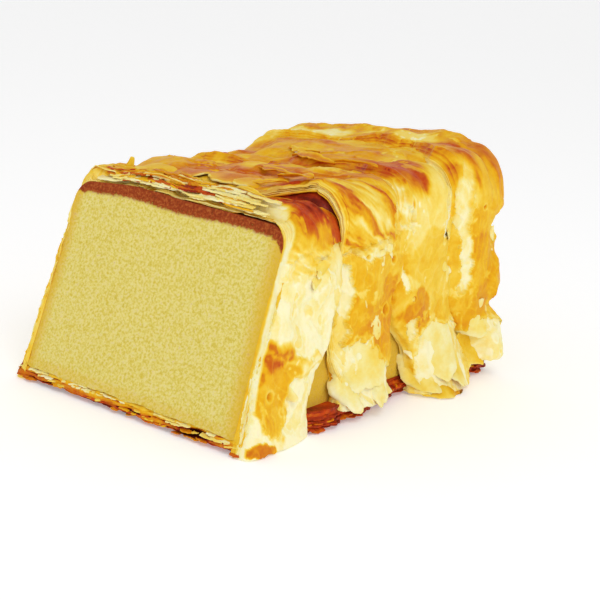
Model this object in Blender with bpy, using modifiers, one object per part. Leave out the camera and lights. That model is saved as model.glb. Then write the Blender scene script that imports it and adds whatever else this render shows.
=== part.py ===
"""A loaf of cheesecake wrapped in puff pastry, cut through at its front end.

The cheesecake is a block with a browned top. One sheet of puff pastry wraps it: a flat base, and
four broad strips that climb both sides and cross over the top. The strips overlap like shingles,
part from each other near their feet, and flare out where they meet the base.

Metres, +Z up. X runs across the loaf and Y along it, away from the cut face. The origin is the
centre of the underside's bounding box.
"""

import math

import bmesh
import bpy
import numpy as np

MM = 0.001

# ---------------------------------------------------------------- driving dimensions
CAKE_WIDTH = 95 * MM  # across the foot of the cheesecake
CAKE_TOP_WIDTH = 90.5 * MM  # across its browned top, a little narrower
CAKE_HEIGHT = 60.5 * MM  # at the cut
CAKE_RISE = 6 * MM  # by which its top climbs towards the far end, on the right
LOAF_LENGTH = 140 * MM  # along the underside, from the cut to the far end
CUT_SLANT = 0.33  # how far the cut face leans back for each unit of height
CAKE_CORNER = 6 * MM  # radius of the cheesecake's long top edges
BASE_THICKNESS = 6.6 * MM  # of the pastry that the cheesecake stands on
BASE_OVERHANG = 4.2 * MM  # how far the base reaches past the cheesecake at each side
CLEARANCE = 0.45 * MM  # between cheesecake and pastry
STRIP_MIDDLE = 4.8 * MM  # pastry thickness along the middle of a strip
STRIP_EDGE = 2.4 * MM  # and at its two long edges
STRIP_STAGGER = 0.09  # mm by which each strip's underside stands off the one before
EDGE_WAVE = 0.9 * MM  # by which the torn edges of the strips wander
WRAP_CORNER = CAKE_CORNER + CLEARANCE  # radius of the pastry's inner surface
FLARE_HEIGHT = 27 * MM  # height over which the feet of the strips flare out
PUFF_HEIGHT = 1.0 * MM  # of the broad swellings in the baked pastry

# ---------------------------------------------------------------- the strips
# Places round the section where the edges of the strips are set, from the right foot over the
# top to the left foot: shares of the side's height, and of the top's width from the middle.
SIDE_STATIONS = (0.0, 0.2, 0.5, 0.8)
TOP_STATIONS = (0.42, 0.22, 0.0, -0.22, -0.42)

# Distance in mm from the cut's foot to each strip's front and rear edge, station by station:
# right foot, low, middle, high, shoulder, five across the top, and the same down the left side.
CUT = None  # the strip ends at the slanted cut face
FAR_END = 140
STRIP_EDGES = (
    (CUT, (32, 33, 42, 44, 42, 37, 36, 35, 38, 41, 43, 45, 43, 36, 33)),
    (
        (44, 43, 39, 41, 43, 42, 30, 28, 32, 38, 41, 42, 41, 43, 43),
        (76, 71, 76, 79, 80, 84, 88, 87, 82, 80, 80, 79, 76, 70, 73),
    ),
    (
        (88, 87, 76, 75, 77, 80, 82, 78, 74, 73, 74, 75, 76, 81, 84),
        (124, 119, 112, 112, 114, 119, 126, 126, 122, 118, 118, 117, 116, 118, 120),
    ),
    ((128, 123, 109, 107, 109, 111, 121, 121, 116, 112, 111, 111, 112, 121, 124), FAR_END),
)
# Height in mm of the strip's underside over the cheesecake, along its front and rear edges.
STRIP_LIFTS = (
    ((0,) * 15, (0, 1.2, 2.6, 2.6, 1.2, 0, 0, 0, 0, 0, 0.6, 1.8, 2.0, 1.2, 0)),
    (
        (0, 0.2, 0.2, 0.4, 4.0, 5.8, 5.2, 3.6, 1.8, 0.8, 0.6, 0.4, 0.2, 0.2, 0),
        (0, 0.8, 1.6, 1.4, 0.6, 0, 0, 0, 0, 0, 0.4, 1.2, 1.4, 0.8, 0),
    ),
    (
        (0, 0.2, 0.2, 0.6, 2.6, 3.8, 4.2, 4.2, 2.4, 0.8, 0.4, 0.4, 0.2, 0.2, 0),
        (0, 0.6, 1.0, 1.0, 0.4, 0.4, 0.6, 0.6, 0.4, 0.2, 0.2, 0.8, 1.0, 0.6, 0),
    ),
    (
        (0, 0.4, 1.0, 1.8, 4.0, 5.2, 5.6, 5.8, 5.4, 4.4, 3.4, 1.8, 0.8, 0.4, 0),
        (0, 0.4, 0.8, 0.8, 2.4, 4.2, 5.4, 6.0, 5.8, 4.8, 3.0, 1.2, 0.6, 0.4, 0),
    ),
)
STRIP_FLARES = ((2.6, 1.6), (5.8, 5.0), (8.6, 7.0), (8.4, 6.4))  # mm, right and left foot
STRIP_SWELLS = (0.6, 1.6, 2.8, 3.2)  # mm of extra thickness across the top
STRIP_FEET = (0.5, 5.6, 2.0, 7.4)  # mm of each strip's foot above the table
LEFT_SHARES = (0.45, 0.75, 0.8, 0.85)  # of the thickness, kept on the left side
RIGHT_SWELLS = (0.0, 0.6, 1.2, 3.0)  # mm of extra thickness on the right side

STEPS_UP_A_SIDE = 13  # mesh cells on each side
STEPS_ROUND_A_CORNER = 5
STEPS_OVER_THE_TOP = 16
STEPS_ACROSS = 7  # and across a strip
STEPS_OF_BASE = (14, 26)

# Large flakes that stand up from the crust. Each row: distance round the section from the right
# foot, distance from the cut's foot, heading in degrees, length, width, height of the free end
# in mm, and the share of its length by which it curls back.
FLAKES = (
    (150, 30, 80, 12, 6, 5.0, 0.3),
    (128, 37, 262, 19, 11, 3.0, 0.1),
    (112, 38, 255, 20, 12, 2.6, 0.1),
    (140, 44, 70, 16, 11, 4.6, 0.4),
    (122, 52, 100, 20, 10, 4.2, 0.3),
    (99, 47, 250, 16, 10, 2.4, 0.0),
    (146, 62, 60, 15, 9, 4.0, 0.3),
    (108, 68, 265, 22, 11, 2.4, 0.0),
    (132, 72, 250, 18, 10, 3.0, 0.2),
    (88, 60, 215, 18, 10, 2.0, 0.0),
    (121, 101, 258, 22, 12, 1.8, 0.0),
    (100, 108, 245, 18, 10, 1.8, 0.0),
    (138, 100, 285, 18, 10, 1.8, 0.0),
    (90, 90, 220, 17, 10, 1.8, 0.0),
    (74, 30, 235, 16, 11, 1.6, 0.0),
    (60, 34, 265, 19, 13, 1.6, 0.0),
    (44, 28, 285, 16, 12, 1.6, 0.0),
    (63, 64, 200, 20, 12, 1.4, 0.0),
    (38, 58, 262, 20, 13, 1.6, 0.0),
    (22, 62, 275, 16, 14, 2.6, 0.0),
    (46, 98, 250, 18, 12, 1.6, 0.0),
    (16, 98, 262, 15, 15, 3.0, 0.0),
    (58, 124, 262, 18, 12, 1.6, 0.0),
    (22, 128, 280, 15, 11, 2.4, 0.0),
    (168, 34, 300, 18, 12, 1.6, 0.0),
    (190, 30, 268, 18, 12, 1.6, 0.0),
    (174, 66, 325, 20, 12, 1.4, 0.0),
    (200, 60, 270, 20, 13, 1.6, 0.0),
    (216, 64, 262, 15, 13, 2.4, 0.0),
    (186, 98, 280, 18, 12, 1.6, 0.0),
    (214, 98, 272, 15, 14, 2.8, 0.0),
    (178, 126, 268, 18, 12, 1.6, 0.0),
)
FLAKE_THICKNESS = 1.0 * MM
FLAKE_SINK = 1.1 * MM  # depth of a flake's root in the crust
STEPS_OF_FLAKE = (5, 3)


def clear_scene():
    for obj in list(bpy.data.objects):
        bpy.data.objects.remove(obj, do_unlink=True)


def crust_material(name, colour, roughness):
    made = bpy.data.materials.new(name)
    made.use_nodes = True
    shader = made.node_tree.nodes["Principled BSDF"]
    shader.inputs["Base Color"].default_value = (*colour, 1)
    shader.inputs["Roughness"].default_value = roughness
    shader.inputs["Metallic"].default_value = 0
    return made


# ---------------------------------------------------------------- the section
def arc(centre, radius, first, last, count):
    turns = np.radians(np.linspace(first, last, count))
    return np.stack([centre[0] + radius * np.cos(turns), centre[1] + radius * np.sin(turns)], 1)


def wrap_section():
    """The pastry's inner surface as a line from the right foot over the top to the left foot:
    its points, outward normals and distances along it."""
    half_foot = CAKE_WIDTH / 2 + CLEARANCE
    half_top = CAKE_TOP_WIDTH / 2 + CLEARANCE
    top = BASE_THICKNESS + CAKE_HEIGHT + CLEARANCE
    corner_x = half_top - WRAP_CORNER
    right = np.concatenate(
        [
            np.linspace((half_foot, 0), (half_top, top - WRAP_CORNER), 40)[:-1],
            arc((corner_x, top - WRAP_CORNER), WRAP_CORNER, 0, 90, 24),
        ]
    )
    left = right[::-1] * (-1, 1)
    across = np.linspace(right[-1], left[0], 40)[1:-1]
    points = np.concatenate([right, across, left])
    along = np.gradient(points, axis=0)
    normals = np.stack([along[:, 1], -along[:, 0]], 1)
    normals /= np.linalg.norm(normals, axis=1, keepdims=True)
    walked = np.concatenate([[0], np.cumsum(np.linalg.norm(np.diff(points, axis=0), axis=1))])
    return points, normals, walked


SECTION, SECTION_NORMALS, WALKED = wrap_section()
AROUND = WALKED[-1]


def on_section(distance):
    """Points and outward normals at these distances round the section."""
    point = [np.interp(distance, WALKED, SECTION[:, i]) for i in (0, 1)]
    normal = [np.interp(distance, WALKED, SECTION_NORMALS[:, i]) for i in (0, 1)]
    return np.stack(point, -1), np.stack(normal, -1)


def station_distances():
    side = CAKE_HEIGHT + BASE_THICKNESS - WRAP_CORNER
    up = [share * side for share in SIDE_STATIONS]
    shoulder = side + WRAP_CORNER * math.pi / 4
    across = [AROUND / 2 - share * CAKE_TOP_WIDTH for share in TOP_STATIONS]
    down = [AROUND - d for d in reversed([*up, shoulder])]
    return np.array([*up, shoulder, *across, *down])


STATIONS = station_distances()


def between_stations(values, distance):
    """A smooth reading, at these distances, of values set at the stations."""
    values = np.array(values, float)
    index = np.clip(np.searchsorted(STATIONS, distance) - 1, 0, len(STATIONS) - 2)
    share = (distance - STATIONS[index]) / (STATIONS[index + 1] - STATIONS[index])
    share = np.clip(share, 0, 1)
    share = share * share * (3 - 2 * share) * 0.5 + share * 0.5
    return values[index] * (1 - share) + values[index + 1] * share


def puffs(distance, along, seed):
    """Broad swellings of the crust, from -1 to 1."""
    a, b = distance / MM, along / MM
    return (
        np.sin(a / 5.3 + b / 9.1 + seed * 2.1)
        + np.sin(a / 8.7 - b / 4.9 + seed * 1.3)
        + np.sin(b / 3.7 + a / 13.0 + seed * 0.7)
    ) / 3


def climb(x, along, height):
    """How much the loaf has risen at a place in it: most at its far right top edge."""
    share = np.clip((height - BASE_THICKNESS) / CAKE_HEIGHT, 0, 1.3)
    rightward = np.clip(0.66 + 0.34 * x / (CAKE_TOP_WIDTH / 2), 0.3, 1.02)
    return CAKE_RISE * share * rightward * np.clip(along / LOAF_LENGTH, 0, 1)


def smooth_share(x):
    x = np.clip(x, 0, 1)
    return x * x * (3 - 2 * x)


# ---------------------------------------------------------------- the strips
def strip_edge(edge, distance, height):
    """Where a strip's edge runs along Y: a cut face, the far end, or a line through stations."""
    if edge is CUT:
        return CUT_SLANT * (height - BASE_THICKNESS)
    if edge is FAR_END:
        return np.full_like(distance, LOAF_LENGTH)
    walk = distance / MM + edge[2]
    wave = np.sin(walk / 2.1) + np.sin(walk / 3.7) + np.sin(walk / 6.1)
    return between_stations(edge, distance) * MM + wave * EDGE_WAVE / 1.6


def strip_point(number, distance, across, depth):
    """A point of a strip. across runs from 0 at its front edge to 1 at its rear edge, and depth
    from 0 on the underside to 1 on the crust."""
    front_edge, rear_edge = STRIP_EDGES[number]
    front_lift, rear_lift = STRIP_LIFTS[number]
    point, normal = on_section(distance)
    lift = (
        between_stations(front_lift, distance) * (1 - across) ** 1.6
        + between_stations(rear_lift, distance) * across**1.6
        + number * STRIP_STAGGER
    ) * MM
    on_top = smooth_share(normal[:, 1])
    thickness = STRIP_EDGE + (STRIP_MIDDLE - STRIP_EDGE) * np.sin(math.pi * across) ** 0.6
    at_an_end = (front_edge is CUT) * (1 - across) + (rear_edge is FAR_END) * across
    thickness += (STRIP_MIDDLE - STRIP_EDGE) * smooth_share(2 * at_an_end - 1) * 0.8
    leftward = smooth_share((distance - AROUND / 2) / CAKE_TOP_WIDTH + 0.5)
    thickness += STRIP_SWELLS[number] * MM * on_top * (1 - 0.6 * leftward)
    thickness += RIGHT_SWELLS[number] * MM * np.clip(normal[:, 0], 0, 1) * np.sin(math.pi * across)
    thickness *= 1 - (1 - LEFT_SHARES[number]) * np.clip(-1.4 * normal[:, 0] - 0.3, 0, 1)
    right, left = STRIP_FLARES[number]
    foot = np.minimum(distance, AROUND - distance)
    flare = np.where(distance < AROUND / 2, right, left) * MM
    tongue = 0.55 + 0.45 * np.sin(math.pi * np.clip(across, 0.02, 0.98))
    thickness += flare * tongue * np.clip(1 - foot / FLARE_HEIGHT, 0, 1) ** 1.7
    out = lift + depth * thickness
    height = point[:, 1] + normal[:, 1] * out
    front = strip_edge(front_edge, distance, height)
    rear = strip_edge(rear_edge, distance, height)
    along = front + (rear - front) * across
    out = out + depth * PUFF_HEIGHT * puffs(distance, along, number) * smooth_share(foot / (9 * MM))
    x = point[:, 0] + normal[:, 0] * out
    z = point[:, 1] + normal[:, 1] * out
    return np.stack([x, along, z + climb(x, along, z)], 1)


STEPS_ROUND = 2 * (STEPS_UP_A_SIDE + STEPS_ROUND_A_CORNER) + STEPS_OVER_THE_TOP


def distance_round(share, foot):
    """Distance round the section for a share of the mesh cells, which crowd at the corners."""
    corner = WRAP_CORNER * math.pi / 2
    side = WALKED[39]
    places = (foot, side, side + corner, AROUND - side - corner, AROUND - side, AROUND - foot)
    cells = (STEPS_UP_A_SIDE, STEPS_ROUND_A_CORNER, STEPS_OVER_THE_TOP)
    cells = np.cumsum((0, *cells, STEPS_ROUND_A_CORNER, STEPS_UP_A_SIDE))
    return np.interp(share * STEPS_ROUND, cells, places)


def flat_slab(name, cells_x, cells_y):
    """A slab one unit each way, from 0 to 1, in cells, as a closed mesh object."""
    bpy.ops.mesh.primitive_grid_add(
        x_subdivisions=cells_x, y_subdivisions=cells_y, size=1, location=(0.5, 0.5, 1)
    )
    slab = bpy.context.object
    slab.name = name
    bpy.ops.object.transform_apply(location=True, rotation=False, scale=False)
    wall = slab.modifiers.new("wall", "SOLIDIFY")
    wall.thickness = 1
    wall.offset = -1
    bpy.ops.object.modifier_apply(modifier=wall.name)
    return slab


def reshape(obj, places):
    """Moves every vertex of the object to where places() puts it."""
    mesh = obj.data
    flat = np.empty(len(mesh.vertices) * 3)
    mesh.vertices.foreach_get("co", flat)
    mesh.vertices.foreach_set("co", places(flat.reshape(-1, 3)).ravel())
    mesh.update()
    face_outwards(mesh)


def face_outwards(mesh):
    shape = bmesh.new()
    shape.from_mesh(mesh)
    bmesh.ops.recalc_face_normals(shape, faces=shape.faces)
    if shape.calc_volume(signed=True) < 0:
        bmesh.ops.reverse_faces(shape, faces=shape.faces)
    shape.to_mesh(mesh)
    shape.free()


def make_strip(number):
    strip = flat_slab(f"strip_{number + 1}", STEPS_ROUND, STEPS_ACROSS)

    def places(slab):
        distance = distance_round(slab[:, 0], STRIP_FEET[number] * MM)
        return strip_point(number, distance, slab[:, 1], slab[:, 2])

    reshape(strip, places)
    return strip


def make_base():
    """The flat pastry under the cheesecake, flush with the cut, with a gently wavy side."""
    base = flat_slab("base", *STEPS_OF_BASE)

    def places(slab):
        share_x, share_y, share_z = slab.T
        along = share_y * LOAF_LENGTH
        ripple = np.cos((along / MM - 47) / 13) + 0.35 * np.sin(along / MM / 2.9)
        half = CAKE_WIDTH / 2 + BASE_OVERHANG * (1 + 0.45 * ripple)
        top = BASE_THICKNESS - CLEARANCE
        z = share_z * top
        start = CUT_SLANT * (z - BASE_THICKNESS)
        y = start + share_y * (LOAF_LENGTH - start)
        return np.stack([(2 * share_x - 1) * half, y, z], 1)

    reshape(base, places)
    return base


def crust_height(distance, along):
    """Height of the crust over the wrap's inner surface at one place."""
    distance, along = np.array([distance]), np.array([along])
    level = np.array([BASE_THICKNESS + CAKE_HEIGHT / 2])
    heights = []
    for number, (front_edge, rear_edge) in enumerate(STRIP_EDGES):
        front = strip_edge(front_edge, distance, level)
        rear = strip_edge(rear_edge, distance, level)
        across = (along - front) / (rear - front)
        if 0 <= across[0] <= 1:
            crust = strip_point(number, distance, across, np.ones(1))
            point, normal = on_section(distance)
            crust[:, 2] -= climb(point[:, 0], along, point[:, 1])
            heights.append(float(((crust[0, [0, 2]] - point[0]) * normal[0]).sum()))
    return max(heights, default=STRIP_MIDDLE)


def make_flake(number, distance, along, heading, length, width, height, curl):
    """A leaf of crust: its root lies in the pastry, and its free end stands up and curls."""
    flake = flat_slab(f"flake_{number + 1}", *STEPS_OF_FLAKE)
    seated = crust_height(distance * MM, along * MM)
    turn = math.radians(heading)

    def places(slab):
        share, side, depth = slab.T
        side = 2 * side - 1
        outline = np.sqrt(np.clip(1 - (2 * share - 1) ** 4, 0.16, 1))
        torn = 1 + 0.17 * np.sin(7 * share + 2 * side + number)
        aside = side * outline * torn * width / 2 * MM
        ahead = (share - 0.3) * length * MM * (1 + 0.14 * np.cos(3 * side + number))
        ahead -= curl * length * MM * share**3
        out = seated - FLAKE_SINK + (FLAKE_SINK + height * MM) * share**1.5 - 0.7 * MM * side**2
        out = out + (depth - 0.5) * FLAKE_THICKNESS
        u = ahead * math.cos(turn) - aside * math.sin(turn)
        v = ahead * math.sin(turn) + aside * math.cos(turn)
        point, normal = on_section(distance * MM - u)
        x = point[:, 0] + normal[:, 0] * out
        z = point[:, 1] + normal[:, 1] * out
        y = along * MM + v
        return np.stack([x, y, z + climb(x, y, z)], 1)

    reshape(flake, places)
    return flake


def keep_outer_shell(mesh):
    """Drops what a join seals inside, and loose scraps, so that one solid is left."""
    shape = bmesh.new()
    shape.from_mesh(mesh)
    bmesh.ops.triangulate(shape, faces=shape.faces)
    left = set(shape.faces)
    shells = []
    while left:
        front = [left.pop()]
        shell = list(front)
        while front:
            for edge in (e for e in front.pop().edges if len(e.link_faces) == 2):
                beside = [face for face in edge.link_faces if face in left]
                left.difference_update(beside)
                shell += beside
                front += beside
        shells.append(shell)
    largest = max(shells, key=len)
    loose = [face for shell in shells if shell is not largest for face in shell]
    bmesh.ops.delete(shape, geom=loose, context="FACES")
    shape.to_mesh(mesh)
    shape.free()


def join_pastry():
    """Joins the base, the strips and the flakes into the one sheet of pastry that they are."""
    base = make_base()
    joined = bpy.data.collections.new("joined")
    bpy.context.scene.collection.children.link(joined)
    pieces = [make_strip(number) for number in range(len(STRIP_EDGES))]
    pieces += [make_flake(number, *flake) for number, flake in enumerate(FLAKES)]
    for piece in pieces:
        for home in list(piece.users_collection):
            home.objects.unlink(piece)
        joined.objects.link(piece)
    union = base.modifiers.new("union", "BOOLEAN")
    union.operation = "UNION"
    union.solver = "MANIFOLD"
    union.operand_type = "COLLECTION"
    union.collection = joined
    bpy.context.view_layer.objects.active = base
    bpy.ops.object.modifier_apply(modifier=union.name)
    for piece in pieces:
        bpy.data.objects.remove(piece, do_unlink=True)
    bpy.data.collections.remove(joined)
    keep_outer_shell(base.data)
    base.name = "pastry_wrap"
    base.data.shade_smooth()
    base.data.set_sharp_from_angle(angle=math.radians(38))
    return base


# ---------------------------------------------------------------- the cheesecake
def make_cheesecake():
    """A block with rounded long edges, a slightly domed top, a slanted cut and a straight far end."""
    bpy.ops.mesh.primitive_cube_add(size=1, location=(0, 0.5, 0.5))
    block = bpy.context.object
    block.name = "cheesecake"
    bpy.ops.object.transform_apply(location=True, rotation=False, scale=False)
    block.scale = (CAKE_WIDTH, LOAF_LENGTH, CAKE_HEIGHT)
    bpy.ops.object.transform_apply(location=False, rotation=False, scale=True)
    shape = bmesh.new()
    shape.from_mesh(block.data)
    long_edges = [e for e in shape.edges if abs(e.verts[0].co.y - e.verts[1].co.y) > LOAF_LENGTH / 2]
    top_edges = [e for e in long_edges if e.verts[0].co.z > CAKE_HEIGHT / 2]
    bmesh.ops.bevel(shape, geom=top_edges, offset=CAKE_CORNER, segments=5, affect="EDGES", profile=0.5)
    crossings = [LOAF_LENGTH * share for share in (0.2, 0.35, 0.5, 0.65, 0.8)]
    for crossing in crossings:
        cut = [*shape.verts, *shape.edges, *shape.faces]
        bmesh.ops.bisect_plane(shape, geom=cut, plane_co=(0, crossing, 0), plane_no=(0, 1, 0))
    for vert in shape.verts:
        share = vert.co.z / CAKE_HEIGHT
        vert.co.x *= 1 + (CAKE_TOP_WIDTH / CAKE_WIDTH - 1) * share
        vert.co.y += CUT_SLANT * vert.co.z * max(0, 1 - vert.co.y / crossings[0])
        vert.co.z += BASE_THICKNESS
        vert.co.z += float(climb(*vert.co))
    shape.to_mesh(block.data)
    shape.free()
    block.data.shade_smooth()
    block.data.set_sharp_from_angle(angle=math.radians(30))
    return block


def centre_on_the_table(objects):
    """Puts the origin at the centre of the underside's bounding box."""
    corners = np.array([vert.co[:] for obj in objects for vert in obj.data.vertices])
    low, high = corners.min(0), corners.max(0)
    shift = -np.array([(low[0] + high[0]) / 2, (low[1] + high[1]) / 2, low[2]])
    for obj in objects:
        for vert in obj.data.vertices:
            vert.co = np.array(vert.co[:]) + shift


def main():
    clear_scene()
    loaf = bpy.data.collections.new("pastry_wrapped_cheesecake")
    bpy.context.scene.collection.children.link(loaf)
    pastry = join_pastry()
    cheesecake = make_cheesecake()
    centre_on_the_table([pastry, cheesecake])
    pastry.data.materials.append(crust_material("baked_pastry", (0.80, 0.47, 0.10), 0.5))
    cheesecake.data.materials.append(crust_material("cheesecake", (0.74, 0.63, 0.22), 0.8))
    for obj in (pastry, cheesecake):
        for home in list(obj.users_collection):
            home.objects.unlink(obj)
        loaf.objects.link(obj)


main()
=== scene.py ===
"""The looks of a cheesecake loaf wrapped in puff pastry and cut through at its front end.

The fine-crumbed cheesecake, the layered base and four broad strips of pastry are modelled leaf by
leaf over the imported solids. Lengths are in millimetres until a shape is placed. Places on the
wrap are given by two distances: "round" runs round the loaf's section, from the right foot over
the top to the left foot, and "along" runs from the foot of the cut to the far end.
"""

import math

import bmesh
import bpy
import numpy as np
from mathutils import Matrix, Vector


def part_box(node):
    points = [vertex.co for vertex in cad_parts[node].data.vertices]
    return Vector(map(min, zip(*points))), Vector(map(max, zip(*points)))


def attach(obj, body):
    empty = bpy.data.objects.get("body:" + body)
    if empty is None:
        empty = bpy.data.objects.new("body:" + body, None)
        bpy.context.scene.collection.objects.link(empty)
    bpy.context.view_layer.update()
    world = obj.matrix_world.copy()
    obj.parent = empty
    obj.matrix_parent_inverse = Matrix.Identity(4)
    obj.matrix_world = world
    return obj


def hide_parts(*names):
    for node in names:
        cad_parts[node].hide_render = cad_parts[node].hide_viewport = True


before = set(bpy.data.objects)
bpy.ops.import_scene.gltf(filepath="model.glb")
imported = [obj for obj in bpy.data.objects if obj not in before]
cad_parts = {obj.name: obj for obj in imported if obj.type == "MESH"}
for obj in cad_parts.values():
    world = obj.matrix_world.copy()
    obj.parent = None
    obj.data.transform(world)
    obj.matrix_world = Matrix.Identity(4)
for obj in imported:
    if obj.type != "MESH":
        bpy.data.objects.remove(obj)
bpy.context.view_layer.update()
MM = 0.001

# ---------------------------------------------------------------- sizes shared with the solids
CAKE_WIDTH, CAKE_TOP_WIDTH, CAKE_HEIGHT, CAKE_RISE = 95, 90.5, 60.5, 6
LOAF_LENGTH, CUT_SLANT, CAKE_CORNER = 140, 0.33, 6
BASE_THICKNESS, BASE_OVERHANG, CLEARANCE = 6.6, 4.2, 0.45
STRIP_MIDDLE, STRIP_EDGE = 4.8, 2.4  # a strip's thickness in its middle and at its edges
STRIP_STAGGER, EDGE_WAVE = 0.09, 0.9
WRAP_CORNER = CAKE_CORNER + CLEARANCE
FLARE_HEIGHT, PUFF_HEIGHT = 27, 1.0

SIDE_STATIONS = (0.0, 0.2, 0.5, 0.8)
TOP_STATIONS = (0.42, 0.22, 0.0, -0.22, -0.42)
CUT, FAR_END = None, 140
# Distances along of each strip's front and rear edges, at the stations from right foot to left.
STRIP_EDGES = (
    (CUT, (31, 31, 40, 47.5, 47, 42, 33, 33, 38, 41, 43, 45, 43, 36, 33)),
    (
        (46, 47, 43, 46, 45, 45.5, 31, 28, 32, 38, 41, 42, 41, 43, 43),
        (79, 75, 77, 79, 80, 84, 88, 87, 82, 80, 80, 79, 76, 70, 73),
    ),
    (
        (90, 88, 77, 75, 77, 80, 82, 78, 74, 73, 74, 75, 76, 81, 84),
        (127, 122, 113, 112, 114, 119, 126, 126, 122, 118, 118, 117, 116, 118, 120),
    ),
    ((128, 123, 109, 107, 109, 111, 121, 122, 119, 117, 118, 116, 114, 121, 124), FAR_END),
)
# How far each strip's front and rear edges lift from the cake, at the same stations.
STRIP_LIFTS = (
    ((0,) * 15, (0, 1.2, 2.6, 1.8, 0.8, 0.4, 1.0, 0, 0, 0, 0.6, 1.8, 2.0, 1.2, 0)),
    (
        (0, 0.2, 0.2, 0.3, 3.2, 6.6, 3.2, 1.4, 0.8, 0.6, 0.4, 0.4, 0.2, 0.2, 0),
        (0, 0.8, 1.6, 1.4, 0.6, 0.8, 1.6, 1.4, 0.6, 0.2, 0.2, 1.2, 1.4, 0.8, 0),
    ),
    (
        (0, 0.2, 0.2, 0.6, 2.4, 3.2, 3.2, 2.2, 0.6, 0.1, 0.1, 0.2, 0.2, 0.2, 0),
        (0, 0.6, 1.0, 1.0, 0.6, 1.4, 3.4, 4.2, 3.8, 2.6, 1.0, 0.8, 1.0, 0.6, 0),
    ),
    (
        (0, 0.4, 0.4, 0.1, 2.4, 5.6, 5.6, 5.8, 5.4, 4.4, 3.4, 1.8, 0.8, 0.4, 0),
        (0, 0.4, 0.8, 0.8, 2.4, 4.2, 5.4, 6.0, 5.8, 4.8, 3.0, 1.2, 0.6, 0.4, 0),
    ),
)
STRIP_FLARES = ((2.6, 2.2), (5.8, 5.0), (8.6, 7.0), (8.4, 6.4))  # at the right and left foot
STRIP_SWELLS = (0.6, 1.6, 2.8, 3.2)  # extra thickness over the top
STRIP_FEET = (0.5, 5.6, 2.0, 7.4)  # height of the feet's lower edges
LEFT_SHARES = (0.45, 0.75, 0.8, 0.85)  # share of the thickness that the left side keeps
RIGHT_SWELLS = (0.0, 0.6, 1.2, 3.0)  # extra thickness on the right side

cake_low, cake_high = (np.array(corner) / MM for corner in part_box("cheesecake"))
TO_FRAME = np.array([(cake_low[0] + cake_high[0]) / 2, cake_low[1], cake_low[2] - BASE_THICKNESS])


# ---------------------------------------------------------------- uneven surfaces
def smooth_share(x):
    x = np.clip(x, 0, 1)
    return x * x * (3 - 2 * x)


def cell_value(a, b, seed):
    """A repeatable number from -1 to 1 for each whole-number cell."""
    a = a.astype(np.int64).astype(np.uint64)
    b = b.astype(np.int64).astype(np.uint64)
    mixed = a * np.uint64(0x9E3779B97F4A7C15) ^ b * np.uint64(0xC2B2AE3D27D4EB4F)
    mixed ^= np.uint64(seed * 0x165667B19E3779F9 % 2**64)
    mixed ^= mixed >> np.uint64(29)
    mixed *= np.uint64(0xBF58476D1CE4E5B9)
    mixed ^= mixed >> np.uint64(32)
    return (mixed & np.uint64(0xFFFFFF)).astype(float) / 0x7FFFFF - 1


def blotches(u, v, size_u, size_v, seed):
    """Smooth repeatable unevenness from -1 to 1, in lumps of about this size."""
    turned_u = (0.88 * u + 0.48 * v * size_u / size_v) / size_u
    turned_v = (0.88 * v - 0.48 * u * size_v / size_u) / size_v
    cell_u, cell_v = np.floor(turned_u), np.floor(turned_v)
    share_u, share_v = smooth_share(turned_u - cell_u), smooth_share(turned_v - cell_v)
    low = cell_value(cell_u, cell_v, seed) * (1 - share_u)
    low += cell_value(cell_u + 1, cell_v, seed) * share_u
    high = cell_value(cell_u, cell_v + 1, seed) * (1 - share_u)
    high += cell_value(cell_u + 1, cell_v + 1, seed) * share_u
    return low * (1 - share_v) + high * share_v


def crags(u, v, size_u, size_v, seed, octaves=4):
    """Unevenness with finer and finer lumps on the broad ones."""
    total = np.zeros(np.broadcast(u, v).shape)
    for octave in range(octaves):
        scale = 0.5**octave
        total += scale * blotches(u + 31 * octave, v, size_u * scale, size_v * scale, seed + octave)
    return total / 1.6


def steps(field, levels, riser=0.22):
    """Turns a smooth field from 0 to 1 into flat treads with short risers."""
    scaled = np.clip(field, 0, 1) * levels
    tread = np.floor(scaled)
    return (tread + smooth_share((scaled - tread - 1 + riser) / riser)) / levels


def near_riser(field, levels, width=0.3):
    """1 at the foot and lip of each riser that steps() makes, 0 on the open treads."""
    scaled = np.clip(field, 0, 1) * levels
    from_riser = np.abs(scaled - np.round(scaled))
    inside = (scaled > 0.1) & (scaled < levels - 0.1)
    return np.clip(1 - from_riser / width, 0, 1) * inside


# ---------------------------------------------------------------- the loaf's section
def arc(centre, radius, first, last, count):
    turns = np.radians(np.linspace(first, last, count))
    return np.stack([centre[0] + radius * np.cos(turns), centre[1] + radius * np.sin(turns)], 1)


def wrap_section():
    """The pastry's inner surface round the section: points, outward normals and distances."""
    half_foot = CAKE_WIDTH / 2 + CLEARANCE
    half_top = CAKE_TOP_WIDTH / 2 + CLEARANCE
    top = BASE_THICKNESS + CAKE_HEIGHT + CLEARANCE
    right = np.concatenate(
        [
            np.linspace((half_foot, 0), (half_top, top - WRAP_CORNER), 40)[:-1],
            arc((half_top - WRAP_CORNER, top - WRAP_CORNER), WRAP_CORNER, 0, 90, 24),
        ]
    )
    left = right[::-1] * (-1, 1)
    points = np.concatenate([right, np.linspace(right[-1], left[0], 40)[1:-1], left])
    forward = np.gradient(points, axis=0)
    normals = np.stack([forward[:, 1], -forward[:, 0]], 1)
    normals /= np.linalg.norm(normals, axis=1, keepdims=True)
    walked = np.concatenate([[0], np.cumsum(np.linalg.norm(np.diff(points, axis=0), axis=1))])
    return points, normals, walked


SECTION, SECTION_NORMALS, WALKED = wrap_section()
AROUND = WALKED[-1]
TOP_MIDDLE = AROUND / 2


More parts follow.
